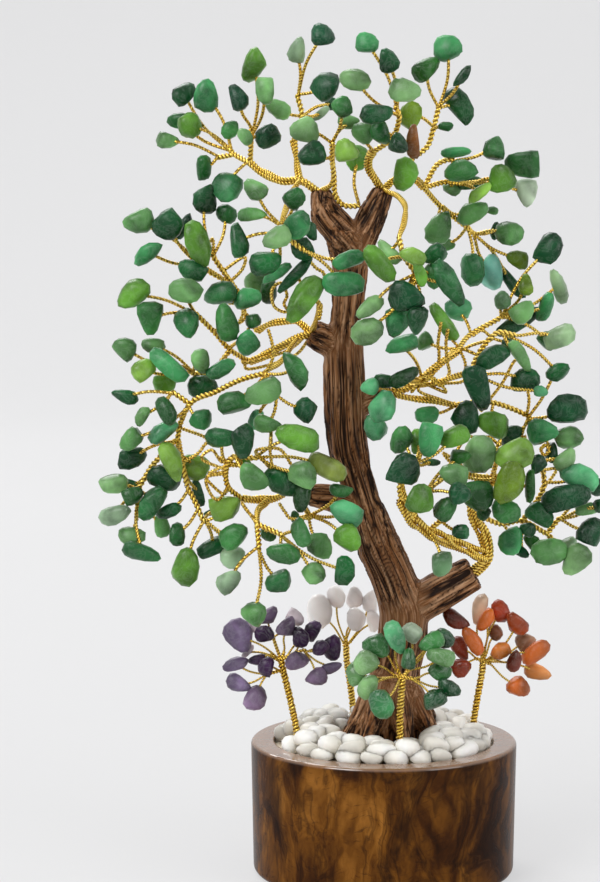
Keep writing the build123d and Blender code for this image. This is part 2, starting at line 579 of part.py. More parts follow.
def make_trunk():
    """The trunk: fluted sections from the spread roots to the fork, cut stubs and a tenon."""
    shaft = Solid.make_loft([trunk_ring(s, n) for n, s in enumerate(TRUNK_PX)], ruled=True)
    stubs = []
    for root, middle, end, widths in STUBS_PX.values():
        sizes = [width * PIXEL for width in widths]
        stubs.append(stub([place(*root), place(*middle), place(*end)], sizes))
    peg = Cylinder(TENON_DIAMETER / 2, TENON_LENGTH, align=(Align.CENTER, Align.CENTER, Align.MAX))
    peg = Pos(TRUNK_OFF_AXIS, 0, FILL_TOP) * peg
    return joined([shaft, *stubs, peg.solid()])


def chips_of(rows, seed):
    """The chips of one spray, each as long, wide and turned as it is seen."""
    chips = []
    for number, (across, down, deep, long_px, short_px, turn) in enumerate(rows):
        long_size, short_size = long_px * pixel_at(deep), short_px * pixel_at(deep)
        thickness = min(CHIP_THICKNESS, short_size * THIN_CHIP_SHARE)
        yaw = CHIP_YAW * sin(CHIP_YAW_STEP * number + seed)
        tip = CHIP_TIP * cos(CHIP_TIP_STEP * number + seed)
        chips.append(stone(place(across, down, deep), long_size, short_size, thickness,
                           turn, yaw, tip, seed * 100 + number))
    return chips


def fork_on(first, second, middle, number):
    """Where a twig to a chip leaves one length of strand, and how far off the chip is."""
    length = (second - first).length
    along = (second - first) / length
    abreast = min(max((middle - first).dot(along), 0), length)
    away = (middle - first - along * abreast).length
    nearest = TWIG_WIDTH * FORK_SHARES[number % len(FORK_SHARES)]
    return first + along * max(abreast - nearest - away * TWIG_LEAN_SHARE, nearest), away


def twigs_of(rows, strands):
    """A straight twig to each chip's middle from the nearest length of strand, leaning outwards."""
    paths = [[place(*spot) for spot in spots] for spots in strands]
    lengths = [pair for path in paths for pair in zip(path, path[1:])]
    twigs = []
    for number, (across, down, deep, *_) in enumerate(rows):
        middle = place(across, down, deep)
        forks = [fork_on(*pair, middle, number) for pair in lengths]
        fork, _ = min(forks, key=lambda found: found[1])
        twigs.append(tube([fork, middle], TWIG_WIDTH, TWIG_SIDES, ROLL_STEP * number))
    return twigs


def make_mini_stem(spots):
    """The thick twisted stem of a small tree, sunk into the filling."""
    points = [place(*spot) for spot in spots]
    socket = Vector(points[0].X, points[0].Y, FILL_TOP - MINI_STEM_SINK)
    return tube([socket, *points], MINI_STEM_WIDTH, BOUGH_SIDES)


def make_pebbles(feet):
    """Milky pebbles laid on the filling in rings, with room left for the stems."""
    pebbles = []
    ring_radius = WELL_DIAMETER / 2 - PEBBLE_WIDTH / 2 - PEBBLE_GAP
    while ring_radius > PEBBLE_LENGTH * 2:
        count = int(2 * pi * ring_radius / (PEBBLE_LENGTH + PEBBLE_GAP))
        for number in range(count):
            angle = 2 * pi * number / count + ring_radius
            x, y = ring_radius * cos(angle), ring_radius * sin(angle)
            if any(hypot(x - foot.X, y - foot.Y) < PEBBLE_CLEAR_OF_STEM for foot in feet):
                continue
            pebble = stone((x, y, FILL_TOP), PEBBLE_LENGTH, PEBBLE_WIDTH, PEBBLE_HEIGHT,
                           -degrees(angle) - 90, 0, 90, len(pebbles))
            pebbles.append(Pos(0, 0, FILL_TOP - pebble.bounding_box().min.Z) * pebble)
        ring_radius -= PEBBLE_WIDTH + PEBBLE_GAP
    return pebbles


def crown(strands):
    """Strands of the crown, with their depths spread."""
    share = CROWN_DEPTH_SHARE
    return [[(across, down, deep * share) for across, down, deep in spots] for spots in strands]


def crown_rows(rows, deep):
    """Chip rows of the crown, with their depths counted from the trunk and spread."""
    return [(across, down, (deep + deeper) * CROWN_DEPTH_SHARE, *size)
            for across, down, deeper, *size in rows]


def save(shape, name):
    """Write one sub-part."""
    export_step(shape, f"parts/{name}.step")


def save_crown(trunk):
    """The six boughs, each cut at its stub, and the sprays that fan out from them."""
    wires = [trunk]
    for name, strands in BOUGHS_PX.items():
        width = HEAVY_BOUGH_WIDTH if name == "lower_right" else BOUGH_WIDTH
        bough = joined(strands_of(crown(strands), width, BOUGH_SIDES))
        wires.append(less(bough, wires))
        save(wires[-1], f"bough_{name}")
    for seed, (name, (deep, strands, rows)) in enumerate(SPRAYS_PX.items()):
        rows = crown_rows(rows, deep)
        chips = chips_of(rows, seed)
        stems = strands_of(crown(strands), STEM_WIDTH, STEM_SIDES)
        twigs = twigs_of(rows, crown(strands))
        wires.append(less(joined(stems + twigs), wires + chips))
        save(wires[-1], f"{name}_wires")
        save(Compound(chips), f"{name}_chips")


def save_mini_trees():
    """The four small trees; returns their stems, which the filling is cut for."""
    stems = []
    for seed, (name, (deep, spots, strands, rows)) in enumerate(MINI_TREES_PX.items()):
        rows = [(across, down, deep + deeper, *size) for across, down, deeper, *size in rows]
        chips = chips_of(rows, seed + len(SPRAYS_PX))
        stems.append(make_mini_stem(spots))
        wires = strands_of(strands, STEM_WIDTH, STEM_SIDES)
        wires = less(joined([stems[-1], *wires, *twigs_of(rows, strands)]), chips)
        save(wires, f"{name}_tree_wires")
        save(Compound(chips), f"{name}_tree_chips")
    return stems


def main():
    """Make every sub-part and write it."""
    os.makedirs("parts", exist_ok=True)
    trunk = make_trunk()
    save(make_pot(), "pot")
    save(trunk, "trunk")
    save_crown(trunk)
    stems = save_mini_trees()
    save(less(make_fill(), [trunk, *stems]), "plaster_fill")
    feet = [place(*spots[0]) for deep, spots, strands, rows in MINI_TREES_PX.values()]
    save(Compound(make_pebbles(feet)), "pebbles")


main()
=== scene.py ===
# %% [markdown]
# # A gemstone tree ornament
# A small tree stands in a lacquered wooden pot. Its trunk ends in cut stubs, and from
# each stub comes a bough of twisted gold wire that fans out into sprays. Every twig
# ends in a tumbled green stone, and four smaller stone trees stand among the pebbles.
# The model loaded here gives each piece its place and size, in metres. This lesson
# dresses it: the same routes carry real twists of wire, the stones are rounded, the
# trunk gets its bark, and each surface gets a finish made of nodes.

# %% Load the frame
import math
import random
import bpy
import bmesh
import numpy as np
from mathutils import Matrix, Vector, noise


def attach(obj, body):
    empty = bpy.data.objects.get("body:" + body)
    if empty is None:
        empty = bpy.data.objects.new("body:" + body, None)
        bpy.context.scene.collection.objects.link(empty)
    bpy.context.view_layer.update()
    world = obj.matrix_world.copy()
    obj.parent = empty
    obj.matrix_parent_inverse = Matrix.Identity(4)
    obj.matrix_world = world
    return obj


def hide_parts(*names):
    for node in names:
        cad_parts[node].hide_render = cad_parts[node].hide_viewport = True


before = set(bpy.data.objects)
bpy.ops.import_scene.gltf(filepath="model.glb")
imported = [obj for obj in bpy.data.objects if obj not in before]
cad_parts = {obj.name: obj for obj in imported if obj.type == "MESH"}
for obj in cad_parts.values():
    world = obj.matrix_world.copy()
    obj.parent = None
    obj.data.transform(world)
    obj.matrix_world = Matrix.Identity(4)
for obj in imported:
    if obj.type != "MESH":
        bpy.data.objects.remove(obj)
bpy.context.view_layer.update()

# %% [markdown]
# ## One view for every place
# A photograph gives two of the three numbers of a place. If we settle where the camera
# stood, a pixel and a depth behind the trunk's foot together make a point in space.
# The routes of wires below are written in that way, so they can be read off the
# picture, and the same numbers aim the camera. The crown is a little deeper than its
# written depths say, by CROWN_DEPTH_SHARE.

# %% From pixels to metres
PIXEL = 0.0003355  # metres to a pixel at the trunk's foot
VIEW_PX = 2700  # how far away the camera stands
PITCH = math.radians(6.34)
PICTURE_HEIGHT_PX = 882
CENTRE_PX = (300, PICTURE_HEIGHT_PX / 2)
FOOT_PX = (388, 744)
FILL_TOP = 0.0432
FOOT = Vector((0.0015, 0, FILL_TOP))
CROWN_DEPTH_SHARE = 1.35


def from_aim(across, down, deep):
    """The point seen at a pixel, in pixel units from the point that the view aims at."""
    up = CENTRE_PX[1] - down
    ahead = VIEW_PX * math.cos(PITCH) + up * math.sin(PITCH)
    rise = up * math.cos(PITCH) - VIEW_PX * math.sin(PITCH)
    reach = (VIEW_PX * math.cos(PITCH) + deep) / ahead
    height = VIEW_PX * math.sin(PITCH) + rise * reach
    return Vector(((across - CENTRE_PX[0]) * reach, deep, height))


def place(across, down, deep, spread=1):
    """The real point seen at a pixel."""
    return FOOT + (from_aim(across, down, deep * spread) - from_aim(*FOOT_PX, 0)) * PIXEL


print("pot rim as seen", place(390, 769, -134))

# %% The camera
aim = FOOT - from_aim(*FOOT_PX, 0) * PIXEL
eye = aim + Vector((0, -math.cos(PITCH), math.sin(PITCH))) * VIEW_PX * PIXEL
bpy.ops.object.camera_add(location=eye, rotation=(math.pi / 2 - PITCH, 0, 0))
camera = bpy.context.object
SENSOR_MM = 36
camera.data.sensor_width = SENSOR_MM
camera.data.lens = SENSOR_MM * VIEW_PX / PICTURE_HEIGHT_PX
camera.data.clip_end = 20
bpy.context.scene.camera = camera
print("camera", eye, "lens", camera.data.lens)

# %% [markdown]
# ## Working with surfaces as sums
# A finish is a network of nodes, but it reads more easily as arithmetic. One small
# class wraps a socket, so that `1 - mask * 0.5` adds its own Math nodes, and one
# method of the network makes any other node.

# %% A socket that can be added and multiplied


class Signal:
    """One output socket of a network."""

    def __init__(self, network, socket):
        self.network = network
        self.socket = socket

    def math(self, operation, first, second):
        """A Math node of two values."""
        inputs = {0: first, 1: second}
        return self.network.node("ShaderNodeMath", inputs, {"operation": operation})

    def __add__(self, other):
        return self.math("ADD", self, other)

    def __sub__(self, other):
        return self.math("SUBTRACT", self, other)

    def __rsub__(self, other):
        return self.math("SUBTRACT", other, self)

    def __mul__(self, other):
        return self.math("MULTIPLY", self, other)

    __radd__ = __add__
    __rmul__ = __mul__

    def __abs__(self):
        return self.network.node("ShaderNodeMath", {0: self}, {"operation": "ABSOLUTE"})


print("signals ready")

# %% A network and its nodes


class Network:
    """A tree of nodes that are made one by one."""

    def __init__(self, tree):
        self.tree = tree

    def node(self, kind, inputs, settings=None, output=0):
        """Make a node: its settings first, then the values or links of its sockets."""
        made = self.tree.nodes.new(kind)
        settings = dict(settings or {})
        stops = settings.pop("stops", None)
        for name, value in settings.items():
            setattr(made, name, value)
        if stops:
            ramp = made.color_ramp.elements
            while len(ramp) < len(stops):
                ramp.new(0.5)
            for element, (position, colour) in zip(ramp, stops):
                element.position = position
                element.color = (*colour, 1)
        for key, value in inputs.items():
            if isinstance(value, Signal):
                self.tree.links.new(value.socket, made.inputs[key])
            else:
                made.inputs[key].default_value = value
        return Signal(self, made.outputs[output])

    def seen(self):
        """1 for a ray to the eye, whether straight, off a mirror or through glass."""
        camera, glossy, passed = (
            self.node("ShaderNodeLightPath", {}, output=f"Is {kind} Ray")
            for kind in ("Camera", "Glossy", "Transmission"))
        return camera.math("MAXIMUM", camera.math("MAXIMUM", camera, glossy), passed)

    def blend_shaders(self, share, first, second, output):
        """Mix two shaders and link them to the surface of an output node."""
        mixed = self.node("ShaderNodeMixShader", {0: share, 1: first, 2: second})
        self.tree.links.new(mixed.socket, self.tree.nodes[output].inputs["Surface"])


class Finish(Network):
    """A material on the Principled shader."""

    def __init__(self, name, **constants):
        self.material = bpy.data.materials.new(name)
        self.material.use_nodes = True
        super().__init__(self.material.node_tree)
        self.surface = self.tree.nodes["Principled BSDF"]
        for socket, value in constants.items():
            self.surface.inputs[socket.replace("_", " ")].default_value = value

    def place(self):
        """Where on the piece a point lies."""
        return self.node("ShaderNodeTexCoord", {}, output=3)

    def read(self, name, output="Color"):
        """An attribute of the mesh."""
        return self.node("ShaderNodeAttribute", {}, {"attribute_name": name}, output)

    def stretched(self, vector, scale, turn=(0, 0, 0)):
        """A vector scaled along each axis and turned."""
        return self.node("ShaderNodeMapping", {"Vector": vector, "Scale": scale, "Rotation": turn})

    def clouds(self, vector, scale, detail=3, rough=0.55, distortion=0):
        """Soft noise from 0 to 1."""
        inputs = {"Vector": vector, "Scale": scale, "Detail": detail, "Roughness": rough,
                  "Distortion": distortion}
        return self.node("ShaderNodeTexNoise", inputs)

    def ramp(self, factor, *stops):
        """Colours along a factor."""
        return self.node("ShaderNodeValToRGB", {"Fac": factor}, {"stops": stops})

    def span(self, value, low, high, start=0.0, end=1.0):
        """A value stretched from one range to another, and kept in it."""
        inputs = {"Value": value, "From Min": low, "From Max": high, "To Min": start,
                  "To Max": end}
        return self.node("ShaderNodeMapRange", inputs, {"clamp": True})

    def mix(self, factor, first, second, blend="MIX"):
        """Two colours mixed."""
        settings = {"data_type": "RGBA", "blend_type": blend}
        return self.node("ShaderNodeMix", {0: factor, 6: first, 7: second}, settings, 2)

    def bump(self, height, strength, distance):
        """Relief on the surface."""
        inputs = {"Height": height, "Strength": strength, "Distance": distance}
        self.give(Normal=self.node("ShaderNodeBump", inputs))

    def give(self, **sockets):
        """Link signals to the surface's own sockets."""
        for socket, value in sockets.items():
            self.tree.links.new(value.socket, self.surface.inputs[socket.replace("_", " ")])


print("socket arithmetic ready")

# %% [markdown]
# ## The stones
# Tumbled chips of green quartz and agate differ from each other more than one chip
# differs within itself: some are nearly black, some milky, some yellow-green. So each
# chip carries its own colour as an attribute of its mesh, with a painted glow that makes
# one side of it paler, and the finish only adds what a real chip shows: soft clouds, a
# few fine veins, and a polish that is a little uneven. A little light passes into the
# stone, which subsurface scattering gives.

# %% The polish of tumbled stone


def stone_finish(name, clouding, veining, glow, gloss=0.38, depth=0.0025):
    """Polished stone that takes its colour from each chip."""
    finish = Finish(name, IOR=1.5, Specular_IOR_Level=gloss, Subsurface_Weight=glow,
                    Subsurface_Scale=depth, Subsurface_Radius=(1, 1, 1))
    spot = finish.place()
    tint_and_painted_glow = finish.read("tint_and_painted_glow")
    cloud = finish.clouds(spot, 110, 2, 0.5, 0.6)
    vein = finish.clouds(spot, 260, 5, 0.6, 1.8)
    shade = finish.span(cloud, 0.3, 0.7, 1 - clouding, 1 + clouding * 0.7)
    thread = finish.span(vein, 0.47, 0.53, 0, 1) * finish.span(vein, 0.53, 0.6, 1, 0)
    grey = finish.ramp(shade * 0.5, (0, (0, 0, 0)), (1, (2, 2, 2)))
    body = finish.mix(1.0, tint_and_painted_glow, grey, "MULTIPLY")
    pale = finish.mix(0.5, body, (0.75, 0.85, 0.75, 1))
    finish.give(Base_Color=finish.mix(thread * veining, body, pale))
    finish.give(Roughness=finish.span(cloud, 0.3, 0.7, 0.24, 0.40))
    return finish


green_stone = stone_finish("green_stone", 0.55, 0.10, 0.35, 0.26, 0.004)
aventurine_stone = stone_finish("dark_aventurine", 0.5, 0.22, 0.15)
amethyst_stone = stone_finish("amethyst", 0.6, 0.12, 0.2, 0.26)
carnelian_stone = stone_finish("carnelian", 0.4, 0.08, 0.3)
quartz_stone = stone_finish("pale_quartz", 0.12, 0.1, 0.4)
pebble_stone = stone_finish("milky_pebble", 0.06, 0.05, 0.8, 0.2, 0.005)
print("stone finishes", len(bpy.data.materials))

# %% [markdown]
# ## The gold wire
# The wire is drawn brass, twisted by hand. Between two turns the strands shade each other
# and the lacquer gathers there. The mesh marks how far out each point of the twist lies,
# and the finish paints the inner ones darker: painted shade, with the lacquer's own tone.

# %% Twisted wire
wire_gold = Finish("gold_wire", Metallic=1.0, IOR=1.5)
crest = wire_gold.read("crest", "Fac")
tarnish = wire_gold.clouds(wire_gold.place(), 160, 3)
bright = wire_gold.mix(wire_gold.span(tarnish, 0.35, 0.65), (0.84, 0.55, 0.080, 1),
                       (0.98, 0.73, 0.17, 1))
# painted shade: the inner points of each twist are painted dark brown
gold = wire_gold.mix(wire_gold.span(crest, 0.1, 0.75), (0.17, 0.070, 0.006, 1), bright)
wire_gold.give(Base_Color=gold)
wire_gold.give(Roughness=wire_gold.span(tarnish, 0.3, 0.7, 0.22, 0.38))
print("wire finish ready")

# %% [markdown]
# ## The lacquered pot
# The pot is turned from figured wood and flooded with gloss lacquer. Under the gloss
# run amber and nearly black streaks that slant and swirl. Noise that is stretched
# along the grain gives streaks, the middle values of another noise give thin dark
# lines, and noise that bends the coordinates first gives swirls. The lacquer is
# thickest on the flat rim, which mirrors the pale room at a glancing angle; the rim's
# top is also painted a paler amber, a painted reflection.

# %% Figured wood under lacquer
pot_wood = Finish("lacquered_wood", IOR=1.5, Specular_IOR_Level=0.04, Coat_Roughness=0.05,
                  Coat_IOR=2.2)
where = pot_wood.place()
swirl = pot_wood.mix(0.972, pot_wood.clouds(where, 30, 3, 0.5, 0.6), (0, 0, 0, 1))
bent = pot_wood.node("ShaderNodeVectorMath", {0: where, 1: swirl}, {"operation": "ADD"})
streak = pot_wood.clouds(pot_wood.stretched(bent, (80, 80, 26), (0, 0.70, 0)), 1, 5, 0.6, 0.4)
thread = pot_wood.clouds(pot_wood.stretched(bent, (110, 110, 22), (0, 0.55, 0)), 1, 4, 0.55, 0.3)
fleck = pot_wood.clouds(pot_wood.stretched(bent, (230, 230, 1500)), 1, 3, 0.6)
smoke = pot_wood.clouds(pot_wood.stretched(where, (1, 1, 0.7)), 42, 4, 0.6, 1.2)
wood = pot_wood.ramp(streak, (0.32, (0.010, 0.0028, 0.0006)), (0.44, (0.046, 0.014, 0.002)),
                     (0.56, (0.130, 0.046, 0.0050)), (0.72, (0.300, 0.120, 0.019)))
wood = pot_wood.mix(pot_wood.span(smoke, 0.50, 0.66, 0, 0.85), wood, (0.016, 0.005, 0.0015, 1))
line = pot_wood.span(abs(thread - 0.5), 0, 0.035, 0.5, 0)
wood = pot_wood.mix(line, wood, (0.008, 0.0025, 0.001, 1))
wood = pot_wood.mix(pot_wood.span(fleck, 0.58, 0.72, 0, 0.55), wood, (0.015, 0.005, 0.002, 1))
height = pot_wood.node("ShaderNodeSeparateXYZ", {"Vector": where}, output=2)
# painted reflection: the top of the rim is painted a paler amber
painted_rim_shine = pot_wood.span(height, 0.0440, 0.0449, 0, 0.6)
pot_wood.give(Base_Color=pot_wood.mix(painted_rim_shine, wood, (0.34, 0.155, 0.055, 1)))
pot_wood.give(Coat_Weight=pot_wood.span(height, 0.0438, 0.0449, 0.02, 1))
pot_wood.give(Roughness=pot_wood.span(streak, 0.3, 0.7, 0.22, 0.34))
print("pot finish ready")

# %% [markdown]
# ## The bark
# The trunk's flutes and coarse furrows are real relief in the mesh. The finish also
# paints shade into them: the attribute `furrow` says how dark each point is painted,
# darker the deeper it is cut, and painted shade fills the seams where two limbs meet.
# The finish also needs to know which way the grain runs, which `grain` says, because
# the trunk bends and its stubs point elsewhere. Along the grain it draws narrow dark
# cracks and the paler, tan edges between them, finer than any mesh could, and `clear`
# fades the cracks where two limbs meet.

# %% Grooved, stained wood
bark = Finish("carved_bark", IOR=1.45, Specular_IOR_Level=0.15)
grain = bark.read("grain", "Vector")
furrow = bark.read("furrow", "Fac")
crack = bark.clouds(bark.stretched(grain, (400, 400, 10)), 1, 3, 0.5, 0.45)
fibre = bark.clouds(bark.stretched(grain, (1700, 1700, 60)), 1, 4, 0.6, 0.3)
patch = bark.clouds(bark.stretched(grain, (150, 150, 30)), 1, 3, 0.5)
off = abs(crack - 0.5)
ridge = bark.ramp(fibre, (0.32, (0.120, 0.042, 0.011)), (0.5, (0.27, 0.120, 0.048)),
                  (0.68, (0.60, 0.355, 0.205)))
ridge = bark.mix(bark.span(patch, 0.42, 0.62, 0, 0.5), ridge, (0.190, 0.066, 0.018, 1))
ridge = bark.mix(bark.span(off, 0.09, 0.20, 0, 0.55), ridge, (0.46, 0.275, 0.16, 1))
thin = bark.span(off, 0.014, 0.066, 1, 0) * bark.read("clear", "Fac")
# the dark cracks, and painted shade that deepens with the furrows and fills the seams between limbs
dark = thin.math("MAXIMUM", thin, bark.span(furrow, 0.15, 0.9))
bark.give(Base_Color=bark.mix(dark, ridge, (0.012, 0.0035, 0.0007, 1)))
bark.give(Roughness=bark.span(fibre, 0.3, 0.7, 0.55, 0.36))
bark.bump(bark.span(off, 0, 0.09) + fibre * 0.3, 0.6, 0.0005)
print("bark finish ready")

# %% [markdown]
# ## One twist, modelled once
# Two strands that are twisted together have a section like a peanut, and the peanut
# turns as it goes along. So a ring is pinched at the waist, then extruded upwards and
# turned a little, again and again, for one full turn; an Array modifier repeats the
# turn. The long straight twist that comes out is the stock that every wire is cut from.

# %% Make the stock
PINCH = 1.5  # how fast a ring widens from its waist


def clear_selection():
    """Deselect everything."""
    bpy.ops.object.select_all(action="DESELECT")


def modify(piece, kind, **settings):
    """Apply one modifier to the active piece."""
    modifier = piece.modifiers.new(kind.lower(), kind)
    for name, value in settings.items():
        setattr(modifier, name, value)
    bpy.ops.object.modifier_apply(modifier=modifier.name)


def coat(piece, finish):
    """Put a finish in place of a piece's materials."""
    piece.data.materials.clear()
    piece.data.materials.append(finish.material)


def combed(stock, sides, steps):
    """The stock's corners in order: ring by ring, and round each ring."""
    spots = np.array([vertex.co for vertex in stock.data.vertices])
    ring = np.rint(spots[:, 2] * steps).astype(int)
    angle = np.arctan2(spots[:, 1], spots[:, 0]) - ring * 2 * np.pi / steps
    corner = np.rint(angle * sides / (2 * np.pi)).astype(int) % sides
    order = np.lexsort((corner, ring))
    return spots[order].reshape(-1, sides, 3)


def twist_stock(sides, steps, waist, turns):
    """A straight twist: radius 1, one metre to a turn."""
    clear_selection()
    bpy.ops.mesh.primitive_circle_add(vertices=sides, radius=1)
    stock = bpy.context.object
    bpy.ops.object.mode_set(mode="EDIT")
    bpy.ops.mesh.select_all(action="DESELECT")
    mesh = bmesh.from_edit_mesh(stock.data)
    for vertex in mesh.verts:
        vertex.co *= waist + (1 - waist) * abs(vertex.co.x) ** PINCH
    bmesh.update_edit_mesh(stock.data)
    bpy.ops.mesh.select_all(action="SELECT")
    turn = 2 * math.pi / steps
    for _ in range(steps):
        bpy.ops.mesh.extrude_region_move(TRANSFORM_OT_translate={"value": (0, 0, 1 / steps)})
        turned = bmesh.from_edit_mesh(stock.data)
        for vertex in turned.verts:
            if vertex.select:
                x, y = vertex.co.x, vertex.co.y
                vertex.co.x = x * math.cos(turn) - y * math.sin(turn)
                vertex.co.y = x * math.sin(turn) + y * math.cos(turn)
        bmesh.update_edit_mesh(stock.data)
    bpy.ops.object.mode_set(mode="OBJECT")
    modify(stock, "ARRAY", count=turns, use_relative_offset=False, use_constant_offset=True,
           constant_offset_displace=(0, 0, 1), use_merge_vertices=True, merge_threshold=0.01)
    rings = combed(stock, sides, steps)
    bpy.data.objects.remove(stock)
    return rings


FINE_STOCK = twist_stock(8, 8, 0.58, 110)
THIN_STOCK = twist_stock(6, 6, 0.54, 60)
print("stock rings", FINE_STOCK.shape, THIN_STOCK.shape)

# %% [markdown]
# ## Laying wire along a route
# A route is a handful of places. A smooth curve runs through them, and the stock is
# bent along it: each ring of the twist moves to its place on the curve and turns to
# face along it. All the wires of one spray go into one mesh.

# %% Routes and the pieces made along them
STRAIGHT_PLACES = 9
CURVE_PLACES = 13
ASKEW = (0.31, 0.9, 0.3)  # a direction that no route follows


def smooth_route(points, step):
    """Places about one step apart on a smooth curve through the points."""
    if len(points) == 2:
        runs = [np.linspace(points[0], points[1], STRAIGHT_PLACES)]
    else:
        ends = [points[0] * 2 - points[1], *points, points[-1] * 2 - points[-2]]
        runs = []
        for a, b, c, d in zip(ends, ends[1:], ends[2:], ends[3:]):
            a, b, c, d = (np.array(point) for point in (a, b, c, d))
            share = np.linspace(0, 1, CURVE_PLACES)[:, None]
            curve = 2 * b + (c - a) * share + (2 * a - 5 * b + 4 * c - d) * share ** 2
            runs.append((curve + (3 * b - a - 3 * c + d) * share ** 3) / 2)
    path = np.vstack([runs[0], *[run[1:] for run in runs[1:]]])
    lengths = np.append(0, np.cumsum(np.linalg.norm(np.diff(path, axis=0), axis=1)))
    count = max(int(lengths[-1] / step), 2)
    marks = np.linspace(0, lengths[-1], count + 1)
    return np.stack([np.interp(marks, lengths, path[:, axis]) for axis in range(3)], 1)


def sides_along(path):
    """The direction of a path at each place, and two sides that don't spin about it."""
    along = np.gradient(path, axis=0)
    along /= np.linalg.norm(along, axis=1)[:, None]
    side = np.cross(along[0], ASKEW)
    sides = []
    for direction in along:
        side = side - direction * side.dot(direction)
        side /= np.linalg.norm(side)
        sides.append(side)
    sides = np.array(sides)
    return along, sides, np.cross(along, sides)


def new_piece(name, spots, faces, finish):
    """A smooth piece made of corners and faces."""
    mesh = bpy.data.meshes.new(name)
    mesh.from_pydata(np.vstack(spots).tolist(), [], faces)
    mesh.shade_smooth()
    piece = bpy.data.objects.new(name, mesh)
    coat(piece, finish)
    bpy.context.scene.collection.objects.link(piece)
    return piece


def mark(piece, name, kind, values):
    """Give each corner of a piece a number, a vector or a colour under a name."""
    key = {"FLOAT": "value", "FLOAT_VECTOR": "vector", "FLOAT_COLOR": "color"}[kind]
    attribute = piece.data.attributes.new(name, kind, "POINT")
    attribute.data.foreach_set(key, np.asarray(values, np.float32).ravel())


print("route helpers ready")

# %% Bend the stock along a route
TWIST_SHARE = 1.45  # the length of a turn, in widths of the twist
PAIR_WIDTH = 0.0016  # of the pairs in a bundle
DRIFT, DRIFT_PACE, DRIFT_STEP = 0.7, 160, 2.4  # how a pair strays round its bundle
SWAY, SWAY_PACE, SWAY_STEP = 0.3, 270, 1.7  # and how it strays in and out
SWAY_MEAN = 0.85


class Wiring:
    """The wires of one piece, laid one after another."""

    def __init__(self):
        self.spots = []
        self.faces = []
        self.crests = []

    def lay(self, path, width, stock):
        """Bend the stock along a path of evenly spaced places, one ring to a place."""
        count = min(len(path), len(stock))
        rings = stock[:count]
        _, across, over = sides_along(path[:count])
        around = (rings[:, :, 0, None] * across[:, None]
                  + rings[:, :, 1, None] * over[:, None])
        first = sum(len(spots) for spots in self.spots)
        sides = rings.shape[1]
        self.spots.append((path[:count, None] + around * width / 2).reshape(-1, 3))
        out = np.linalg.norm(rings[:, :, :2], axis=2).reshape(-1)
        self.crests.append((out - out.min()) / (out.max() - out.min()))
        grid = first + np.arange(count * sides).reshape(count, sides)
        ahead = np.roll(grid, -1, axis=1)
        quads = np.stack([grid[:-1], ahead[:-1], ahead[1:], grid[1:]], 2)
        self.faces += quads.reshape(-1, 4).tolist()
        self.faces.append(grid[0][::-1].tolist())
        self.faces.append(grid[-1].tolist())

    def twist(self, points, width, stock):
        """One twisted pair through points; a ring has as many sides as a turn has rings."""
        self.lay(smooth_route(points, width * TWIST_SHARE / stock.shape[1]), width, stock)

    def bundle(self, points, width, pairs, turn_length, wander=1.0):
        """Several twisted pairs that wander round each other along a route."""
        step = PAIR_WIDTH * TWIST_SHARE / FINE_STOCK.shape[1]
        path = smooth_route(points, step)
        _, across, over = sides_along(path)
        length = np.arange(len(path)) * step
        for pair in range(pairs):
            drift = DRIFT * wander * np.sin(length * DRIFT_PACE + pair * DRIFT_STEP)
            angle = 2 * np.pi * (pair / pairs + length / turn_length) + drift
            sway = SWAY * wander * np.sin(length * SWAY_PACE + pair * SWAY_STEP)
            reach = (width - PAIR_WIDTH) / 2 * (SWAY_MEAN + sway)
            shift = across * np.cos(angle)[:, None] + over * np.sin(angle)[:, None]
            self.lay(path + shift * reach[:, None], PAIR_WIDTH, FINE_STOCK)

    def finish(self, name, node):
        """One piece of all the wires, in place of its node."""
        piece = new_piece(name, self.spots, self.faces, wire_gold)
        mark(piece, "crest", "FLOAT", np.concatenate(self.crests))
        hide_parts(node)
        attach(piece, "root")
        return piece


print("wire helpers ready")

# %% [markdown]
# ## Shaping the stones
# A node of chips knows where each stone lies, how long it is and how it is turned. One
# ball is modelled for all of them: a cube, cut in nine on each side and blown up. Every
# stone is a copy that is narrowed towards one end, bowed and worn flat here and there,
# because no tumbled chip is even, and then takes the reach of its chip. The ball has
# few faces: there are hundreds of stones.

# %% Model the ball


def ball_stock():
    """The corners and faces of a ball of radius 1 with even faces."""
    clear_selection()
    bpy.ops.mesh.primitive_cube_add(size=2)
    ball = bpy.context.object
    bpy.ops.object.mode_set(mode="EDIT")
    bpy.ops.mesh.select_all(action="SELECT")
    bpy.ops.mesh.subdivide(number_cuts=2)
    bpy.ops.object.mode_set(mode="OBJECT")
    spots = np.tan(np.array([vertex.co for vertex in ball.data.vertices]) * np.pi / 4)
    spots /= np.linalg.norm(spots, axis=1)[:, None]
    faces = np.array([list(face.vertices) for face in ball.data.polygons])
    bpy.data.objects.remove(ball)
    return spots, faces


BALL, BALL_FACES = ball_stock()
BOXINESS = 0.82  # 1 is a ball, and less is boxier
FLAT_AT = 0.66  # how far from the middle a worn side lies
WORN_SHARE = 0.75
PAINTED_GLOW_SHARE = 0.3
PAINTED_GLOW_TURN = 2.4


def tumbled(chance, taper, flats):
    """A copy of the ball, worn into a drop or a bean, from -1 to 1 along each axis."""
    unit = np.sign(BALL) * np.abs(BALL) ** BOXINESS
    unit[:, 1:] *= 1 + chance.uniform(0.4, 1) * taper * chance.choice([-1, 1]) * unit[:, :1]
    unit[:, 1] += chance.uniform(-0.8, 0.8) * taper * (unit[:, 0] ** 2 - 0.4)
    for _ in range(flats):
        facing = np.array([chance.uniform(-reach, reach) for reach in (1, 1, 0.5)])
        facing /= np.linalg.norm(facing)
        unit -= np.maximum(unit @ facing - FLAT_AT, 0)[:, None] * facing * WORN_SHARE
    low, high = unit.min(0), unit.max(0)
    return (unit - (low + high) / 2) * 2 / (high - low)


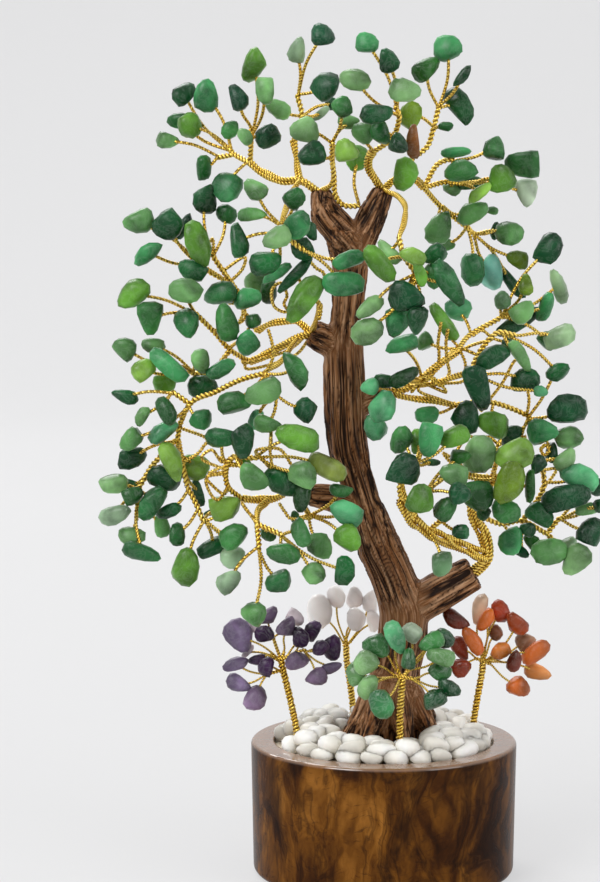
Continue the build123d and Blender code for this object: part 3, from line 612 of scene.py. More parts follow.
def stones_piece(name, stones, colours, finish):
    """One piece of many shaped stones, each with its colour and a painted glow, paler towards one
    side.
    """
    faces = np.vstack([BALL_FACES + number * len(BALL) for number in range(len(stones))])
    piece = new_piece(name, stones, faces.tolist(), finish)
    tints_with_painted_glow = np.ones((len(stones), len(BALL), 4))
    for number, (shade, colour) in enumerate(zip(tints_with_painted_glow, colours)):
        # painted glow: each stone's colour is painted paler towards one side and darker towards the
        # other
        facing = (math.sin(number * PAINTED_GLOW_TURN), math.cos(number * PAINTED_GLOW_TURN), 0.3)
        shade[:, :3] = np.array(colour) * (1 + PAINTED_GLOW_SHARE * (BALL @ facing)[:, None])
    mark(piece, "tint_and_painted_glow", "FLOAT_COLOR", tints_with_painted_glow)
    return piece


print("ball faces", len(BALL_FACES))

# %% Shape the stones of a node
CHIP_TAPER = 0.3
CHIP_FLATS = 3
TONE_SPREAD = (0.86, 1.14)


def chips_of(node):
    """The corners of each chip of a node."""
    mesh = bmesh.new()
    mesh.from_mesh(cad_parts[node].data)
    bmesh.ops.remove_doubles(mesh, verts=mesh.verts, dist=0.00001)
    chips = []
    seen = set()
    for first in [face.verts[0] for face in mesh.faces]:
        chip = []
        ahead = [first]
        while ahead:
            vertex = ahead.pop()
            if vertex not in seen:
                seen.add(vertex)
                chip.append(tuple(vertex.co))
                ahead += [edge.other_vert(vertex) for edge in vertex.link_edges]
        if chip:
            chips.append(np.array(chip))
    mesh.free()
    return chips


def shape_stones(node, name, palette, finish, swell):
    """Shaped, tinted stones in place of a node of chips; returns the chips' middles.

    The stones are a little swollen, because wear takes off more than a chip's corners.
    """
    chance = random.Random(node)
    chips = chips_of(node)
    stones = []
    colours = []
    for number, corners in enumerate(chips):
        middle = corners.mean(0)
        directions = np.linalg.svd(corners - middle)[2]
        directions[2] = np.cross(directions[0], directions[1])
        local = (corners - middle) @ directions.T
        low, high = local.min(0), local.max(0)
        worn = tumbled(chance, CHIP_TAPER, CHIP_FLATS)
        shape = worn * (high - low) / 2 * swell + (low + high) / 2
        stones.append(middle + shape @ directions)
        tone = np.array(palette[number % len(palette)])
        colours.append(tone * chance.uniform(*TONE_SPREAD))
    piece = stones_piece(name, stones, colours, finish)
    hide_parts(node)
    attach(piece, "root")
    return [Vector(corners.mean(0)) for corners in chips]


print("stone helper ready")

# %% [markdown]
# ## The trunk
# The real trunk is carved and cast like old wood: an S-shaped shaft with spread roots,
# a fork, and stubs where branches were cut. Limbs are easiest as curves with a radius
# at each point. Made into meshes and remeshed together, they grow into one skin; the
# furrows are then pressed into it along each limb.

# %% Limbs as curves
TRUNK_PX = [
    (744, 341, 434, 0), (730, 346, 429, 0), (714, 353, 425, 0), (694, 363, 420, 0),
    (668, 373, 420, 0), (640, 377, 427, 0), (612, 379, 430, 0), (590, 375, 421, 0),
    (570, 368, 412, 2), (548, 357, 402, 4), (524, 352, 391, 5), (500, 348, 380, 5),
    (474, 338, 373, 4), (448, 328, 369, 2), (416, 325, 366, 0), (384, 324, 366, -2),
    (352, 324, 364, -3), (318, 331, 362, -3), (284, 333, 366, -2), (258, 331, 369, 0),
    (244, 328, 371, 0), (232, 327, 375, 0),
]
STUBS_PX = {
    "top_left": [(350, 243, 0), (325, 213, 0), (320, 190, 0), (34, 27, 14)],
    "top_right": [(360, 242, 0), (373, 214, 0), (383, 191, 0), (28, 24, 16)],
    "mid_left": [(345, 350, 0), (329, 341, -3), (312, 333, -5), (34, 28, 22)],
    "right_mid": [(350, 408, 0), (370, 399, 2), (390, 392, 5), (28, 22, 17)],
    "lower_left": [(358, 508, 5), (332, 498, 0), (309, 494, -5), (28, 23, 18)],
    "lower_right": [(402, 612, 0), (438, 592, 0), (473, 573, -2), (42, 35, 30)],
}
ROOTS_PX = [
    [(376, 684, -16), (362, 718, -24), (346, 742, -26)],
    [(384, 684, -20), (376, 716, -34), (366, 745, -42)],
    [(396, 684, -20), (402, 714, -34), (407, 744, -40)],
    [(408, 688, -12), (421, 716, -20), (434, 740, -24)],
    [(410, 690, 10), (424, 716, 20), (436, 736, 26)],
    [(384, 686, 18), (372, 712, 32), (358, 732, 38)],
    [(398, 684, 20), (404, 710, 36), (408, 728, 42)],
]
ROOT_WIDTHS_PX = (26, 22, 14)
FOOT_SINK = 0.004
FOOT_SHARES = (0.8, 0.72, 0.8)  # the shaft is slimmer between the roots
BARK_DEPTH = 0.0005


def limb(points, radii):
    """A round limb through points."""
    data = bpy.data.curves.new("limb", "CURVE")
    data.dimensions = "3D"
    data.bevel_depth = 1
    data.bevel_resolution = 6
    data.use_fill_caps = True
    spline = data.splines.new("POLY")
    spline.points.add(len(points) - 1)
    for knot, point, radius in zip(spline.points, points, radii):
        knot.co = (*point, 1)
        knot.radius = radius
    piece = bpy.data.objects.new("limb", data)
    bpy.context.scene.collection.objects.link(piece)
    return piece


shaft = [place((left + right) / 2, down, deep) for down, left, right, deep in TRUNK_PX]
girths = [(right - left) / 2 * PIXEL for _, left, right, _ in TRUNK_PX]
slim = [girth * share for girth, share in zip([girths[0], *girths], FOOT_SHARES)]
limbs = [([shaft[0] - Vector((0, 0, FOOT_SINK)), *shaft], [*slim, *girths[2:]])]
for *spots, widths in STUBS_PX.values():
    radii = [width / 2 * PIXEL + BARK_DEPTH for width in widths]
    limbs.append(([place(*spot) for spot in spots], radii))
for spots in ROOTS_PX:
    radii = [width / 2 * PIXEL for width in ROOT_WIDTHS_PX]
    limbs.append(([place(*spot) for spot in spots], radii))
print("limbs", len(limbs))

# %% Grow them into one skin
clear_selection()
parts = [limb(points, radii) for points, radii in limbs]
for part in parts:
    part.select_set(True)
bpy.context.view_layer.objects.active = parts[0]
bpy.ops.object.convert(target="MESH")
bpy.ops.object.join()
trunk = bpy.context.object
trunk.name = "bark_trunk"
modify(trunk, "REMESH", mode="VOXEL", voxel_size=0.0006)
modify(trunk, "SMOOTH", factor=0.5, iterations=10)
print("trunk faces", len(trunk.data.polygons))

# %% Press the furrows
FLUTES = 7
FLUTE_DEPTH = 0.0010
FLUTE_TWIST = math.radians(2)
FLUTE_SHADE = 0.6
FURROW_SCALES = [(520, 22, 0.0007), (1000, 40, 0.0004)]  # across, along, depth
FURROW_NARROWING = 5.5
FURROW_POWER = 1.2
FURROW_SHADE = (0.6, 500)  # of the finest furrow, and what each metre of depth adds
SEAM_SHADE = 0.3
SEAM_SHARE = 0.4  # how wide the blend between two limbs is, in their radii
KNOT_STEP = 0.0015
GRAIN_SHIFT = 0.07  # between the grain of one limb and the next
FORK_STATIONS = 3
BATCHES = 60


def limb_knots():
    """Rows along every limb: place, direction, two sides, radius, way, limb and station.

    The shaft's last stations are left out, so that the grain runs on into the fork's arms.
    """
    knots = []
    for number, (points, radii) in enumerate(limbs):
        path = smooth_route(points, KNOT_STEP)
        marks = np.linspace(0, len(radii) - 1, len(path))
        radius = np.interp(marks, range(len(radii)), radii)
        way = np.arange(len(path)) * KNOT_STEP + GRAIN_SHIFT * number
        rest = np.stack([radius, way, np.full(len(path), number), marks], 1)
        rows = np.hstack([path, *sides_along(path), rest])
        knots.append(rows[marks < len(radii) - FORK_STATIONS] if number == 0 else rows)
    return np.vstack(knots)


def limb_coordinates(spots):
    """Each spot on its nearest limb: across it, over, along, limb, station, angle, clear."""
    knots = limb_knots()
    middles, radii, owners = knots[:, :3], knots[:, 12], knots[:, 14]
    result = []
    for some in np.array_split(spots, BATCHES):
        away = some[:, None] - middles
        share = np.linalg.norm(away, axis=2) / radii
        nearest = share.argmin(1)
        other = np.where(owners == owners[nearest][:, None], math.inf, share).min(1)
        clear = np.clip((other - share.min(1)) / SEAM_SHARE, 0, 1)
        away = away[np.arange(len(some)), nearest]
        near = knots[nearest]
        way = near[:, 13] + (away * near[:, 3:6]).sum(1)
        across, over = (away * near[:, 6:9]).sum(1), (away * near[:, 9:12]).sum(1)
        angle = np.arctan2(away[:, 1], away[:, 0])
        result.append(np.stack([across, over, way, near[:, 14], near[:, 15], angle, clear], 1))
    return np.vstack(result)


def furrow_at(spot):
    """How deep the bark is cut at a place in limb coordinates, and how much painted shade it gets
    there.
    """
    across, over, way, number, station, angle, clear = spot
    depth = dark = 0
    if number == 0:
        phase = (angle - FLUTE_TWIST * (station - 1)) * FLUTES / (2 * math.pi) % 1
        flute = 1 - abs(phase * 2 - 1)
        depth += FLUTE_DEPTH * flute
        dark = max(0, flute - FLUTE_SHADE)
    for scale, stretch, cut in FURROW_SCALES:
        wave = noise.noise(Vector((across * scale, over * scale, way * stretch + scale)))
        groove = max(0, 1 - abs(wave) * FURROW_NARROWING) ** FURROW_POWER
        depth += cut * groove
        dark = max(dark, groove * (FURROW_SHADE[0] + FURROW_SHADE[1] * cut))
    # painted shade: deeper flutes and furrows are painted darker, and seams between limbs get
    # SEAM_SHADE
    shade = min(dark, 1) * clear + SEAM_SHADE * (1 - clear)
    return BARK_DEPTH + (depth - BARK_DEPTH) * clear, shade


spots = np.array([vertex.co for vertex in trunk.data.vertices])
normals = np.array([vertex.normal for vertex in trunk.data.vertices])
local = limb_coordinates(spots)
furrows = np.array([furrow_at(spot) for spot in local])
pressed = spots - normals * (furrows[:, :1] - BARK_DEPTH)
trunk.data.vertices.foreach_set("co", pressed.reshape(-1))
mark(trunk, "furrow", "FLOAT", furrows[:, 1])
mark(trunk, "grain", "FLOAT_VECTOR", local[:, :3])
mark(trunk, "clear", "FLOAT", local[:, 6])
trunk.data.update()
coat(trunk, bark)
trunk.data.shade_smooth()
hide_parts("trunk")
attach(trunk, "root")
print("deepest furrow, mm", furrows[:, 0].max() * 1000)

# %% [markdown]
# ## The pot
# A turned pot is a drum with a well. A cylinder is a fair start: its top face is inset
# and pushed down to make the well, its foot is drawn in a little, and each rim is
# rounded with a bevel, as sandpaper and thick lacquer leave it. Weighted normals keep
# the wide faces flat, so the rim mirrors the room like a plate.

# %% Turn the pot


def pick(mesh_object, low, high, inner=0.0, outer=1.0):
    """Select the corners in a range of heights and radii, and what lies between them."""
    bpy.ops.mesh.select_all(action="DESELECT")
    mesh = bmesh.from_edit_mesh(mesh_object.data)
    for vertex in mesh.verts:
        radius = math.hypot(vertex.co.x, vertex.co.y)
        vertex.select = low <= vertex.co.z <= high and inner <= radius <= outer
    mesh.select_flush(True)
    bmesh.update_edit_mesh(mesh_object.data)


POT_HEIGHT = 0.045
POT_RADIUS = 0.045
WELL_RADIUS = 0.037
WELL_DEPTH = 0.033
FOOT_SHARE = 0.982
SLACK = 0.001
AT_FOOT = (-SLACK, SLACK)
AT_RIM = (POT_HEIGHT - SLACK, POT_HEIGHT + SLACK)
clear_selection()
bpy.ops.mesh.primitive_cylinder_add(vertices=128, radius=POT_RADIUS, depth=POT_HEIGHT,
                                    location=(0, 0, POT_HEIGHT / 2))
pot = bpy.context.object
pot.name = "turned_pot"
bpy.ops.object.transform_apply(location=True, rotation=True, scale=True)
bpy.ops.object.mode_set(mode="EDIT")
bpy.ops.mesh.select_mode(type="VERT")
pick(pot, *AT_FOOT)
bpy.ops.transform.resize(value=(FOOT_SHARE, FOOT_SHARE, 1), center_override=(0, 0, 0))
pick(pot, *AT_RIM)
bpy.ops.mesh.inset(thickness=POT_RADIUS - WELL_RADIUS)
bpy.ops.mesh.extrude_region_move(TRANSFORM_OT_translate={"value": (0, 0, -WELL_DEPTH)})
for corners, offset, segments in [((*AT_RIM, POT_RADIUS - SLACK), 0.0012, 4),
                                  ((*AT_RIM, 0, WELL_RADIUS + SLACK), 0.0008, 3),
                                  (AT_FOOT, 0.0022, 4)]:
    pick(pot, *corners)
    bpy.ops.mesh.bevel(offset=offset, segments=segments, affect="EDGES")
bpy.ops.object.mode_set(mode="OBJECT")
bpy.ops.object.shade_smooth_by_angle(angle=math.radians(40))
modify(pot, "WEIGHTED_NORMAL", keep_sharp=True)
coat(pot, pot_wood)
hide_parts("pot")
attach(pot, "root")
print("pot faces", len(pot.data.polygons), "size", tuple(pot.dimensions))

# %% [markdown]
# ## The filling and its pebbles
# The filling keeps its own solid and gets a chalky finish. The pebbles are milky and
# worn smooth; they lie side by side in the well, in rings of two layers, and leave
# room for the trunk and the stems. Each is a copy of the ball, worn less than the
# chips are, leaned a little and turned.

# %% Chalky filling
plaster = Finish("set_plaster", Roughness=0.85)
chalk = plaster.clouds(plaster.place(), 300, 4)
plaster.give(Base_Color=plaster.ramp(chalk, (0.3, (0.66, 0.56, 0.43)), (0.7, (0.82, 0.74, 0.62))))
plaster.bump(chalk, 0.3, 0.0004)
coat(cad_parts["plaster_fill"], plaster)
print("filling finished")

# %% Lay the pebbles
PEBBLE = (0.0088, 0.0074, 0.0052)
PEBBLE_TAPER = 0.22
STEMS_PX = [(297, 735, -19), (353, 713, 86), (400, 748, -78), (473, 728, 13)]
LAYERS = [  # the radius of a ring, its height over the filling and its number of pebbles
    [(0.0334, 0, 25), (0.0280, 0.0002, 21), (0.0228, 0.0005, 17), (0.0180, 0.0010, 12)],
    [(0.0310, 0.0026, 21), (0.0256, 0.0029, 18), (0.0205, 0.0033, 12)],
]
RING_TURN = 400  # a ring starts further round, the wider it is
TRUNK_ROOM = 0.0165
STEM_ROOM = 0.0042
FRONT_ROOM = (0.013, 0.023)  # across and out, in the upper layer


def taken(x, y, layer):
    """Whether the trunk, a stem or, above the first layer, a front root stands there."""
    if math.hypot(x - FOOT.x, y) < TRUNK_ROOM:
        return True
    if layer and abs(x) < FRONT_ROOM[0] and -FRONT_ROOM[1] < y < 0:
        return True
    return any(math.hypot(x - stem.x, y - stem.y) < STEM_ROOM for stem in stems)


def laid(size, turn, lean):
    """A worn pebble of some size, leaned and turned."""
    shaped = tumbled(chance, PEBBLE_TAPER, 1) * size / 2
    cos, sin = math.cos(lean), math.sin(lean)
    shaped = shaped @ np.array([[cos, 0, -sin], [0, 1, 0], [sin, 0, cos]])
    cos, sin = math.cos(turn), math.sin(turn)
    return shaped @ np.array([[cos, sin, 0], [-sin, cos, 0], [0, 0, 1]])


chance = random.Random(7)
stems = [place(*spot) for spot in STEMS_PX]
laid_stones = []
rings = [(layer, *ring) for layer, beds in enumerate(LAYERS) for ring in beds]
for layer, radius, lift, number in rings:
    for step in range(number):
        angle = 2 * math.pi * (step + chance.uniform(-0.2, 0.2)) / number + radius * RING_TURN
        x, y = radius * math.cos(angle), radius * math.sin(angle)
        if taken(x, y, layer):
            continue
        size = np.array(PEBBLE) * [chance.uniform(0.85, 1.15) for _ in range(3)]
        turn = angle + math.pi / 2 + chance.uniform(-0.7, 0.7)
        shaped = laid(size, turn, chance.uniform(-0.3, 0.3))
        laid_stones.append(shaped + (x, y, FILL_TOP + lift - shaped[:, 2].min()))
greys = [0.90 - 0.08 * (number * 0.37 % 1) for number in range(len(laid_stones))]
milky = [(grey, grey * 0.955, grey * 0.86) for grey in greys]
pebbles = stones_piece("laid_pebbles", laid_stones, milky, pebble_stone)
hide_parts("pebbles")
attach(pebbles, "root")
print("pebbles", len(laid_stones))

# %% [markdown]
# ## The boughs
# From every stub comes a bundle of twisted pairs, wound round each other, that splits
# into thinner bundles. The lower right bough is the heaviest: it holds a whole side
# of the crown. The places are pixels and a depth, and each strand of a bough starts
# on another one.

# %% Routes of the boughs
BOUGHS_PX = {
    "top_left": [
        [(320, 192, 0), (300, 180, 0), (281, 180, 5), (262, 172, 15), (250, 163, 20)],
        [(300, 180, 0), (297, 162, 12), (294, 140, 18)],
        [(320, 192, 0), (332, 182, -15), (332, 160, -26)],
        [(300, 180, 0), (288, 202, -32), (282, 225, -60)],
    ],
    "top_right": [
        [(383, 190, 0), (371, 172, -8), (369, 160, -15), (373, 152, -20)],
        [(383, 190, 0), (398, 177, 12), (415, 180, 20), (424, 188, 25)],
        [(383, 190, 0), (398, 196, -25), (406, 212, -48), (399, 237, -80)],
    ],
    "mid_left": [
        [(312, 333, -5), (298, 337, -2), (280, 346, 4), (265, 355, 10), (250, 362, 15)],
        [(312, 333, -5), (298, 322, 5), (276, 322, 15), (257, 331, 25)],
        [(298, 337, -2), (284, 358, -32), (265, 373, -55)],
        [(312, 333, -5), (316, 318, -28), (320, 306, -52)],
    ],
    "right_mid": [
        [(390, 392, 5), (410, 387, 5), (430, 373, 6), (445, 360, 12), (458, 350, 20)],
        [(390, 392, 5), (412, 398, 2), (434, 401, 0), (455, 405, 0)],
        [(410, 387, 5), (426, 384, -12), (447, 379, -25), (470, 372, -35)],
    ],
    "lower_left": [
        [(309, 494, -5), (295, 487, -12), (282, 495, -22), (268, 500, -32), (242, 499, -42)],
        [(268, 500, -32), (258, 510, -46), (257, 524, -60)],
        [(309, 494, -5), (304, 504, -25), (308, 514, -42)],
    ],
    "lower_right": [
        [(473, 573, -2), (487, 556, -6), (484, 536, -8), (474, 512, -10), (480, 494, -10),
         (492, 478, -10)],
        [(487, 556, -6), (470, 551, -18), (450, 542, -32), (428, 531, -50), (410, 518, -60),
         (401, 500, -65)],
    ],
}

# %% Wind the boughs
HEAVY_BUNDLE = (0.0048, 7, 0.070)  # width, pairs and the length of a turn
BUNDLES = [(0.0034, 4, 0.045), (0.0030, 3, 0.045), (0.0024, 2, 0.045), (0.0024, 2, 0.045)]
for name, strands in BOUGHS_PX.items():
    wiring = Wiring()
    for spots, bundle in zip(strands, BUNDLES):
        points = [place(*spot, spread=CROWN_DEPTH_SHARE) for spot in spots]
        wiring.bundle(points, *(HEAVY_BUNDLE if name == "lower_right" else bundle))
    piece = wiring.finish(f"wound_bough_{name}", f"bough_{name}")
    print(piece.name, len(piece.data.polygons))

# %% [markdown]
# ## The sprays
# Each spray has a few strands, and a twig to every stone from the nearest length of
# strand, leaning outwards as wire does that is bent by hand. The letters give each
# stone its colour: D, d, m, l and w run from nearly black to milky, B is a brown one,
# and y, e, g and o turn the tone towards yellow, teal, grey and olive. The stones of
# the small trees have tones of their own.

# %% Colours of the stones
GREENS = {"D": (0.003, 0.058, 0.014), "d": (0.010, 0.090, 0.016), "m": (0.090, 0.248, 0.070),
          "l": (0.175, 0.345, 0.130), "w": (0.390, 0.490, 0.350), "B": (0.18, 0.06, 0.006)}
LILACS = {"D": (0.038, 0.010, 0.052), "l": (0.155, 0.100, 0.175), "g": (0.140, 0.098, 0.180),
          "p": (0.560, 0.470, 0.520)}
WHITES = {"w": (0.90, 0.84, 0.84)}
REDS = {"d": (0.14, 0.018, 0.005), "r": (0.33, 0.035, 0.006), "o": (0.52, 0.115, 0.012),
        "p": (0.69, 0.48, 0.34), "y": (0.50, 0.20, 0.03), "b": (0.20, 0.07, 0.03)}
HUES = {"y": (1.08, 1.06, 0.38), "e": (0.45, 0.97, 1.1), "g": (1.3, 1.0, 1.6),
        "o": (1.3, 0.85, 0.4)}


def colours_of(letters, tones):
    """A colour for each group of letters: its tones blended, then turned by its hues."""
    colours = []
    for group in letters.split():
        blend = [tones[letter] for letter in group if letter in tones] or [tones["m"]]
        colour = np.exp(np.log(blend).mean(0))
        for letter in group:
            if letter not in tones:
                colour = colour * HUES[letter]
        colours.append(colour)
    return colours


print("first stone", colours_of("lg", GREENS))

# %% Routes of the sprays
SPRAYS_PX = {
    "peak": ("lg Dg De ml lg D md lm l D yl ym", [
        [(294, 140, 18), (302, 118, 22), (298, 98, 25), (298, 80, 25)],
        [(332, 160, -26), (332, 145, -36), (335, 128, -40)],
        [(332, 160, -26), (334, 178, -20), (335, 194, -16), (343, 205, -14), (357, 206, -11),
         (373, 199, -7)],
    ]),
    "upper_left": ("my Dg lm De lm D em d y md ml d e", [
        [(250, 163, 20), (251, 140, 10), (252, 113, 0)],
        [(250, 163, 20), (234, 154, 32), (217, 131, 42)],
        [(234, 154, 32), (220, 157, 40), (206, 154, 45)],
    ]),
    "left_shoulder": ("d ml m me D l D ed de me me em", [
        [(282, 225, -60), (280, 232, -72), (266, 244, -75)],
        [(280, 232, -72), (298, 246, -78), (322, 262, -80)],
    ]),
    "left_fan": ("m D Dg em de D d my em ml Do Dm", [
        [(257, 331, 25), (243, 310, 25), (235, 288, 22), (206, 270, 20), (178, 253, 20)],
        [(235, 288, 22), (214, 258, 15), (209, 234, 12)],
    ]),
    "left_long": ("ym ml md Dm md m ml ly me ml me ed my me md", [
        [(250, 362, 15), (230, 350, 0), (215, 333, -8), (198, 316, -12), (184, 305, -15)],
        [(230, 350, 0), (212, 372, -8), (195, 374, -10), (180, 358, -15)],
    ]),
    "left_middle": ("dm ml De md le m my D", [
        [(265, 373, -55), (276, 392, -60), (279, 410, -62)], [(320, 306, -52), (316, 296, -60)],
    ]),
    "left_low": ("D lm d el Dm m D ly D yl D", [
        [(265, 373, -55), (240, 380, -50), (215, 392, -45), (190, 404, -40), (178, 438, -36),
         (187, 486, -40)], [(190, 404, -40), (174, 393, -38), (155, 397, -38)],
    ]),
    "low_left_tips": ("l de dm Dm lg ml Dm D m d ym D md lg ly D", [
        [(178, 438, -36), (158, 459, -30), (150, 469, -30), (139, 488, -33), (135, 506, -35)],
        [(187, 486, -40), (197, 506, -42), (203, 520, -44), (220, 526, -40)],
    ]),
    "low_left_inner": ("D ed y ym lm lo m ed", [
        [(242, 499, -42), (228, 487, -52), (226, 470, -60), (233, 457, -66), (254, 458, -70),
         (271, 447, -72)],
    ]),
    "low_left_drop": ("lg m mD do md lm ed ld le ym m Do dm d", [
        [(257, 524, -60), (259, 545, -70), (257, 560, -74)],
        [(257, 524, -60), (278, 533, -68), (295, 547, -72)], [(308, 514, -42), (314, 520, -52)],
    ]),
    "top_right": ("me l D l D m d D B", [
        [(373, 152, -20), (392, 138, -30), (399, 118, -38), (390, 90, -45)],
    ]),
    "right_peak": ("e yd D ed yo d", [
        [(398, 177, 12), (411, 160, 14), (427, 147, 15), (433, 130, 15), (438, 110, 15),
         (442, 90, 15)],
    ]),
    "right_shoulder": ("y me md ml d yl md my md w", [
        [(424, 188, 25), (436, 166, 32), (448, 160, 35), (474, 163, 38)],
        [(424, 188, 25), (447, 182, 36), (490, 186, 40)],
    ]),
    "right_fan": ("m m m m D m yo em we D", [
        [(424, 188, 25), (440, 206, 45), (465, 226, 58), (487, 247, 62)],
    ]),
    "right_middle": ("my l yl y ed md Dm De l l em D", [
        [(399, 237, -80), (404, 256, -85), (415, 272, -85), (426, 292, -85)],
    ]),
    "right_long_upper": ("yo De wl mg ml D em my el md De m", [
        [(458, 350, 20), (470, 335, 36), (500, 318, 46), (524, 298, 50)],
    ]),
    "right_long": ("D wl ml D le ed me Do ed De le le le", [
        [(470, 372, -35), (481, 350, -32), (497, 333, -30), (535, 338, -28)],
        [(470, 372, -35), (497, 387, -35)], [(426, 384, -12), (412, 368, -28)],
        [(390, 392, 5), (392, 400, -20)],
    ]),
    "right_low": ("De em ym De De em ml D", [
        [(455, 405, 0), (490, 402, 4), (528, 416, 6), (526, 436, 2)],
    ]),
    "low_right_inner": ("md eD my em ym yd ym ml md De D mg D", [
        [(401, 500, -65), (400, 484, -70), (411, 466, -74)],
        [(401, 500, -65), (424, 494, -72), (438, 480, -74)],
        [(428, 531, -50), (440, 521, -58), (452, 514, -62)], [(411, 466, -74), (430, 456, -76)],
        [(428, 531, -50), (438, 543, -62)],
    ]),
    "low_right_top": ("l md ly yo yd md Do", [
        [(492, 478, -10), (470, 474, -20), (452, 458, -26)],
        [(492, 478, -10), (497, 458, -24), (500, 446, -26)],
    ]),
    "low_right_outer": ("D l le De De ed ml D De em D dy De m lg l", [
        [(474, 512, -10), (500, 524, -4), (522, 521, 0), (547, 534, 4)],
        [(522, 521, 0), (536, 502, 0), (544, 486, 0), (542, 464, 2), (540, 450, 4)],
        [(547, 534, 4), (558, 520, 6), (578, 514, 8)], [(547, 534, 4), (562, 548, 2)],
    ]),
}

# %% [markdown]
# Between the sprays lie loose ends and loops of the same wire, where a hand has tied
# one bunch to the next. They are read off the picture too, all of one spray at one
# depth. An end that is close to a strand is led back to it, and the others stay loose.

# %% Loose wires
LOOSE_PX = {  # the depth of a spray's loose wires, and the pixels of each
    "left_fan": (17, [
        [(213, 240), (216, 260), (232, 282)], [(203, 266), (218, 275), (234, 287)],
        [(244, 257), (243, 268), (233, 279)], [(229, 303), (239, 304), (243, 313), (239, 323)],
    ]),
    "left_middle": (-56, [
        [(316, 298), (300, 305), (286, 312), (274, 306), (272, 290), (281, 283), (287, 295),
         (284, 304), (289, 311)], [(268, 329), (272, 343), (273, 357), (267, 370)],
        [(318, 300), (321, 309), (319, 319)],
        [(309, 260), (316, 268), (324, 274), (322, 288), (317, 296)],
    ]),
    "left_long": (5, [
        [(322, 328), (310, 331), (296, 345), (279, 354), (246, 363)],
        [(322, 332), (310, 338), (298, 353), (279, 362), (248, 369)],
    ]),
    "left_low": (-40, [
        [(206, 438), (203, 447), (197, 454), (184, 462)],
    ]),
    "low_left_inner": (-60, [
        [(202, 459), (212, 450), (222, 462), (233, 456), (228, 465), (221, 457)],
        [(208, 474), (226, 466), (242, 466)], [(207, 477), (209, 491), (218, 500)],
        [(207, 477), (214, 487), (224, 494)], [(271, 432), (270, 450), (271, 468)],
        [(257, 450), (274, 448), (283, 452), (292, 466)],
    ]),
    "low_left_drop": (-55, [
        [(242, 503), (247, 511), (254, 518)], [(279, 503), (285, 512), (292, 519)],
    ]),
    "right_long": (-20, [
        [(409, 372), (421, 384), (433, 378), (446, 392)],
        [(412, 392), (425, 376), (441, 386), (450, 372)], [(419, 391), (439, 399), (454, 404)],
        [(441, 322), (438, 343), (439, 352), (438, 364), (430, 378)],
        [(448, 329), (446, 343), (447, 360), (449, 374), (440, 384)],
        [(433, 369), (450, 357), (470, 346), (490, 340)], [(461, 349), (465, 362), (466, 376)],
        [(451, 383), (461, 382), (470, 377)],
    ]),
    "right_low": (4, [
        [(520, 357), (513, 363), (503, 382), (490, 399), (481, 411)],
        [(527, 387), (529, 400), (527, 414)], [(551, 381), (541, 400), (529, 417), (521, 437)],
    ]),
    "low_right_top": (-24, [
        [(443, 453), (455, 467), (470, 478), (493, 479)], [(500, 440), (496, 451), (496, 463)],
        [(467, 437), (478, 440), (489, 437)],
    ]),
    "low_right_outer": (3, [
        [(541, 489), (550, 480), (556, 469)],
        [(545, 445), (549, 451), (544, 455), (541, 449), (546, 444)],
    ]),
    "low_right_inner": (-68, [
        [(443, 476), (436, 484), (426, 489)], [(442, 480), (433, 487), (427, 494)],
        [(399, 481), (403, 497), (414, 520)], [(402, 481), (406, 497), (417, 518)],
    ]),
}

# %% Twigs
TWIG_LEAN_SHARE = 0.7
FORK_SPREAD = 0.0011
FORK_SHARES = [0.3, 0.7, 1.1, 0.5, 0.9]
RUN_LENGTH = 0.012  # how far a twig runs beside its strand, at most
RUN_MIN = 0.003
RUN_OFFSET = 0.0009
BOW_SHARE = 0.07
BOW_AXIS = Vector((0.2, 1, 0.1))
ON_LINE = 1e-8  # square metres: how little a fork may be off the line of a strand
LEAD_MIN, LEAD_MAX = 0.001, 0.009


def fork_on(first, second, middle, number):
    """How far a stone is from one length of strand, and where its twig leaves and starts."""
    length = (second - first).length
    along = (second - first) / length
    abreast = min(max((middle - first).dot(along), 0), length)
    away = (middle - first - along * abreast).length
    nearest = FORK_SPREAD * FORK_SHARES[number % len(FORK_SHARES)]
    leave = max(abreast - nearest - away * TWIG_LEAN_SHARE, nearest)
    return away, first + along * leave, first + along * max(leave - RUN_LENGTH, 0)


def lay_twigs(wiring, paths, middles, width):
    """A twig to each stone, from beside its strand, with a slight bow; returns the forks."""
    forks = []
    lengths = [pair for path in paths for pair in zip(path, path[1:])]
    for number, middle in enumerate(middles):
        found = [fork_on(*pair, middle, number) for pair in lengths]
        _, fork, start = min(found, key=lambda option: option[0])
        reach = middle - fork
        bow = reach.cross(BOW_AXIS).normalized() * reach.length * BOW_SHARE
        bend = fork + reach * 0.5 + bow * (1 if number % 2 else -1)
        beside = reach.normalized() * RUN_OFFSET
        run = [start + beside, fork + beside] if (fork - start).length > RUN_MIN else [fork]
        wiring.twist([*run, bend, middle], width, THIN_STOCK)
        forks.append(fork)
    return forks


def trimmed(path, forks):
    """A strand's path, cut off where its last twig leaves it."""
    last = path[-1] - path[-2]
    shares = [(fork - path[-2]).dot(last) / last.length_squared for fork in forks
              if (fork - path[-2]).cross(last).length < ON_LINE]
    return [*path[:-1], path[-2] + last * max(shares)] if shares else path


def nearest_on(paths, spot):
    """The place on the strands that is nearest to a spot."""
    found = []
    for path in paths:
        for first, second in zip(path, path[1:]):
            share = (spot - first).dot(second - first) / (second - first).length_squared
            found.append(first.lerp(second, min(max(share, 0), 1)))
    return min(found, key=lambda option: (option - spot).length)


def led_back(points, paths):
    """The points of a wire, and before and after them their places on near strands."""
    first, last = nearest_on(paths, points[0]), nearest_on(paths, points[-1])
    before = [first] if LEAD_MIN < (first - points[0]).length < LEAD_MAX else []
    after = [last] if LEAD_MIN < (last - points[-1]).length < LEAD_MAX else []
    return before + points + after


print("twig helpers ready")

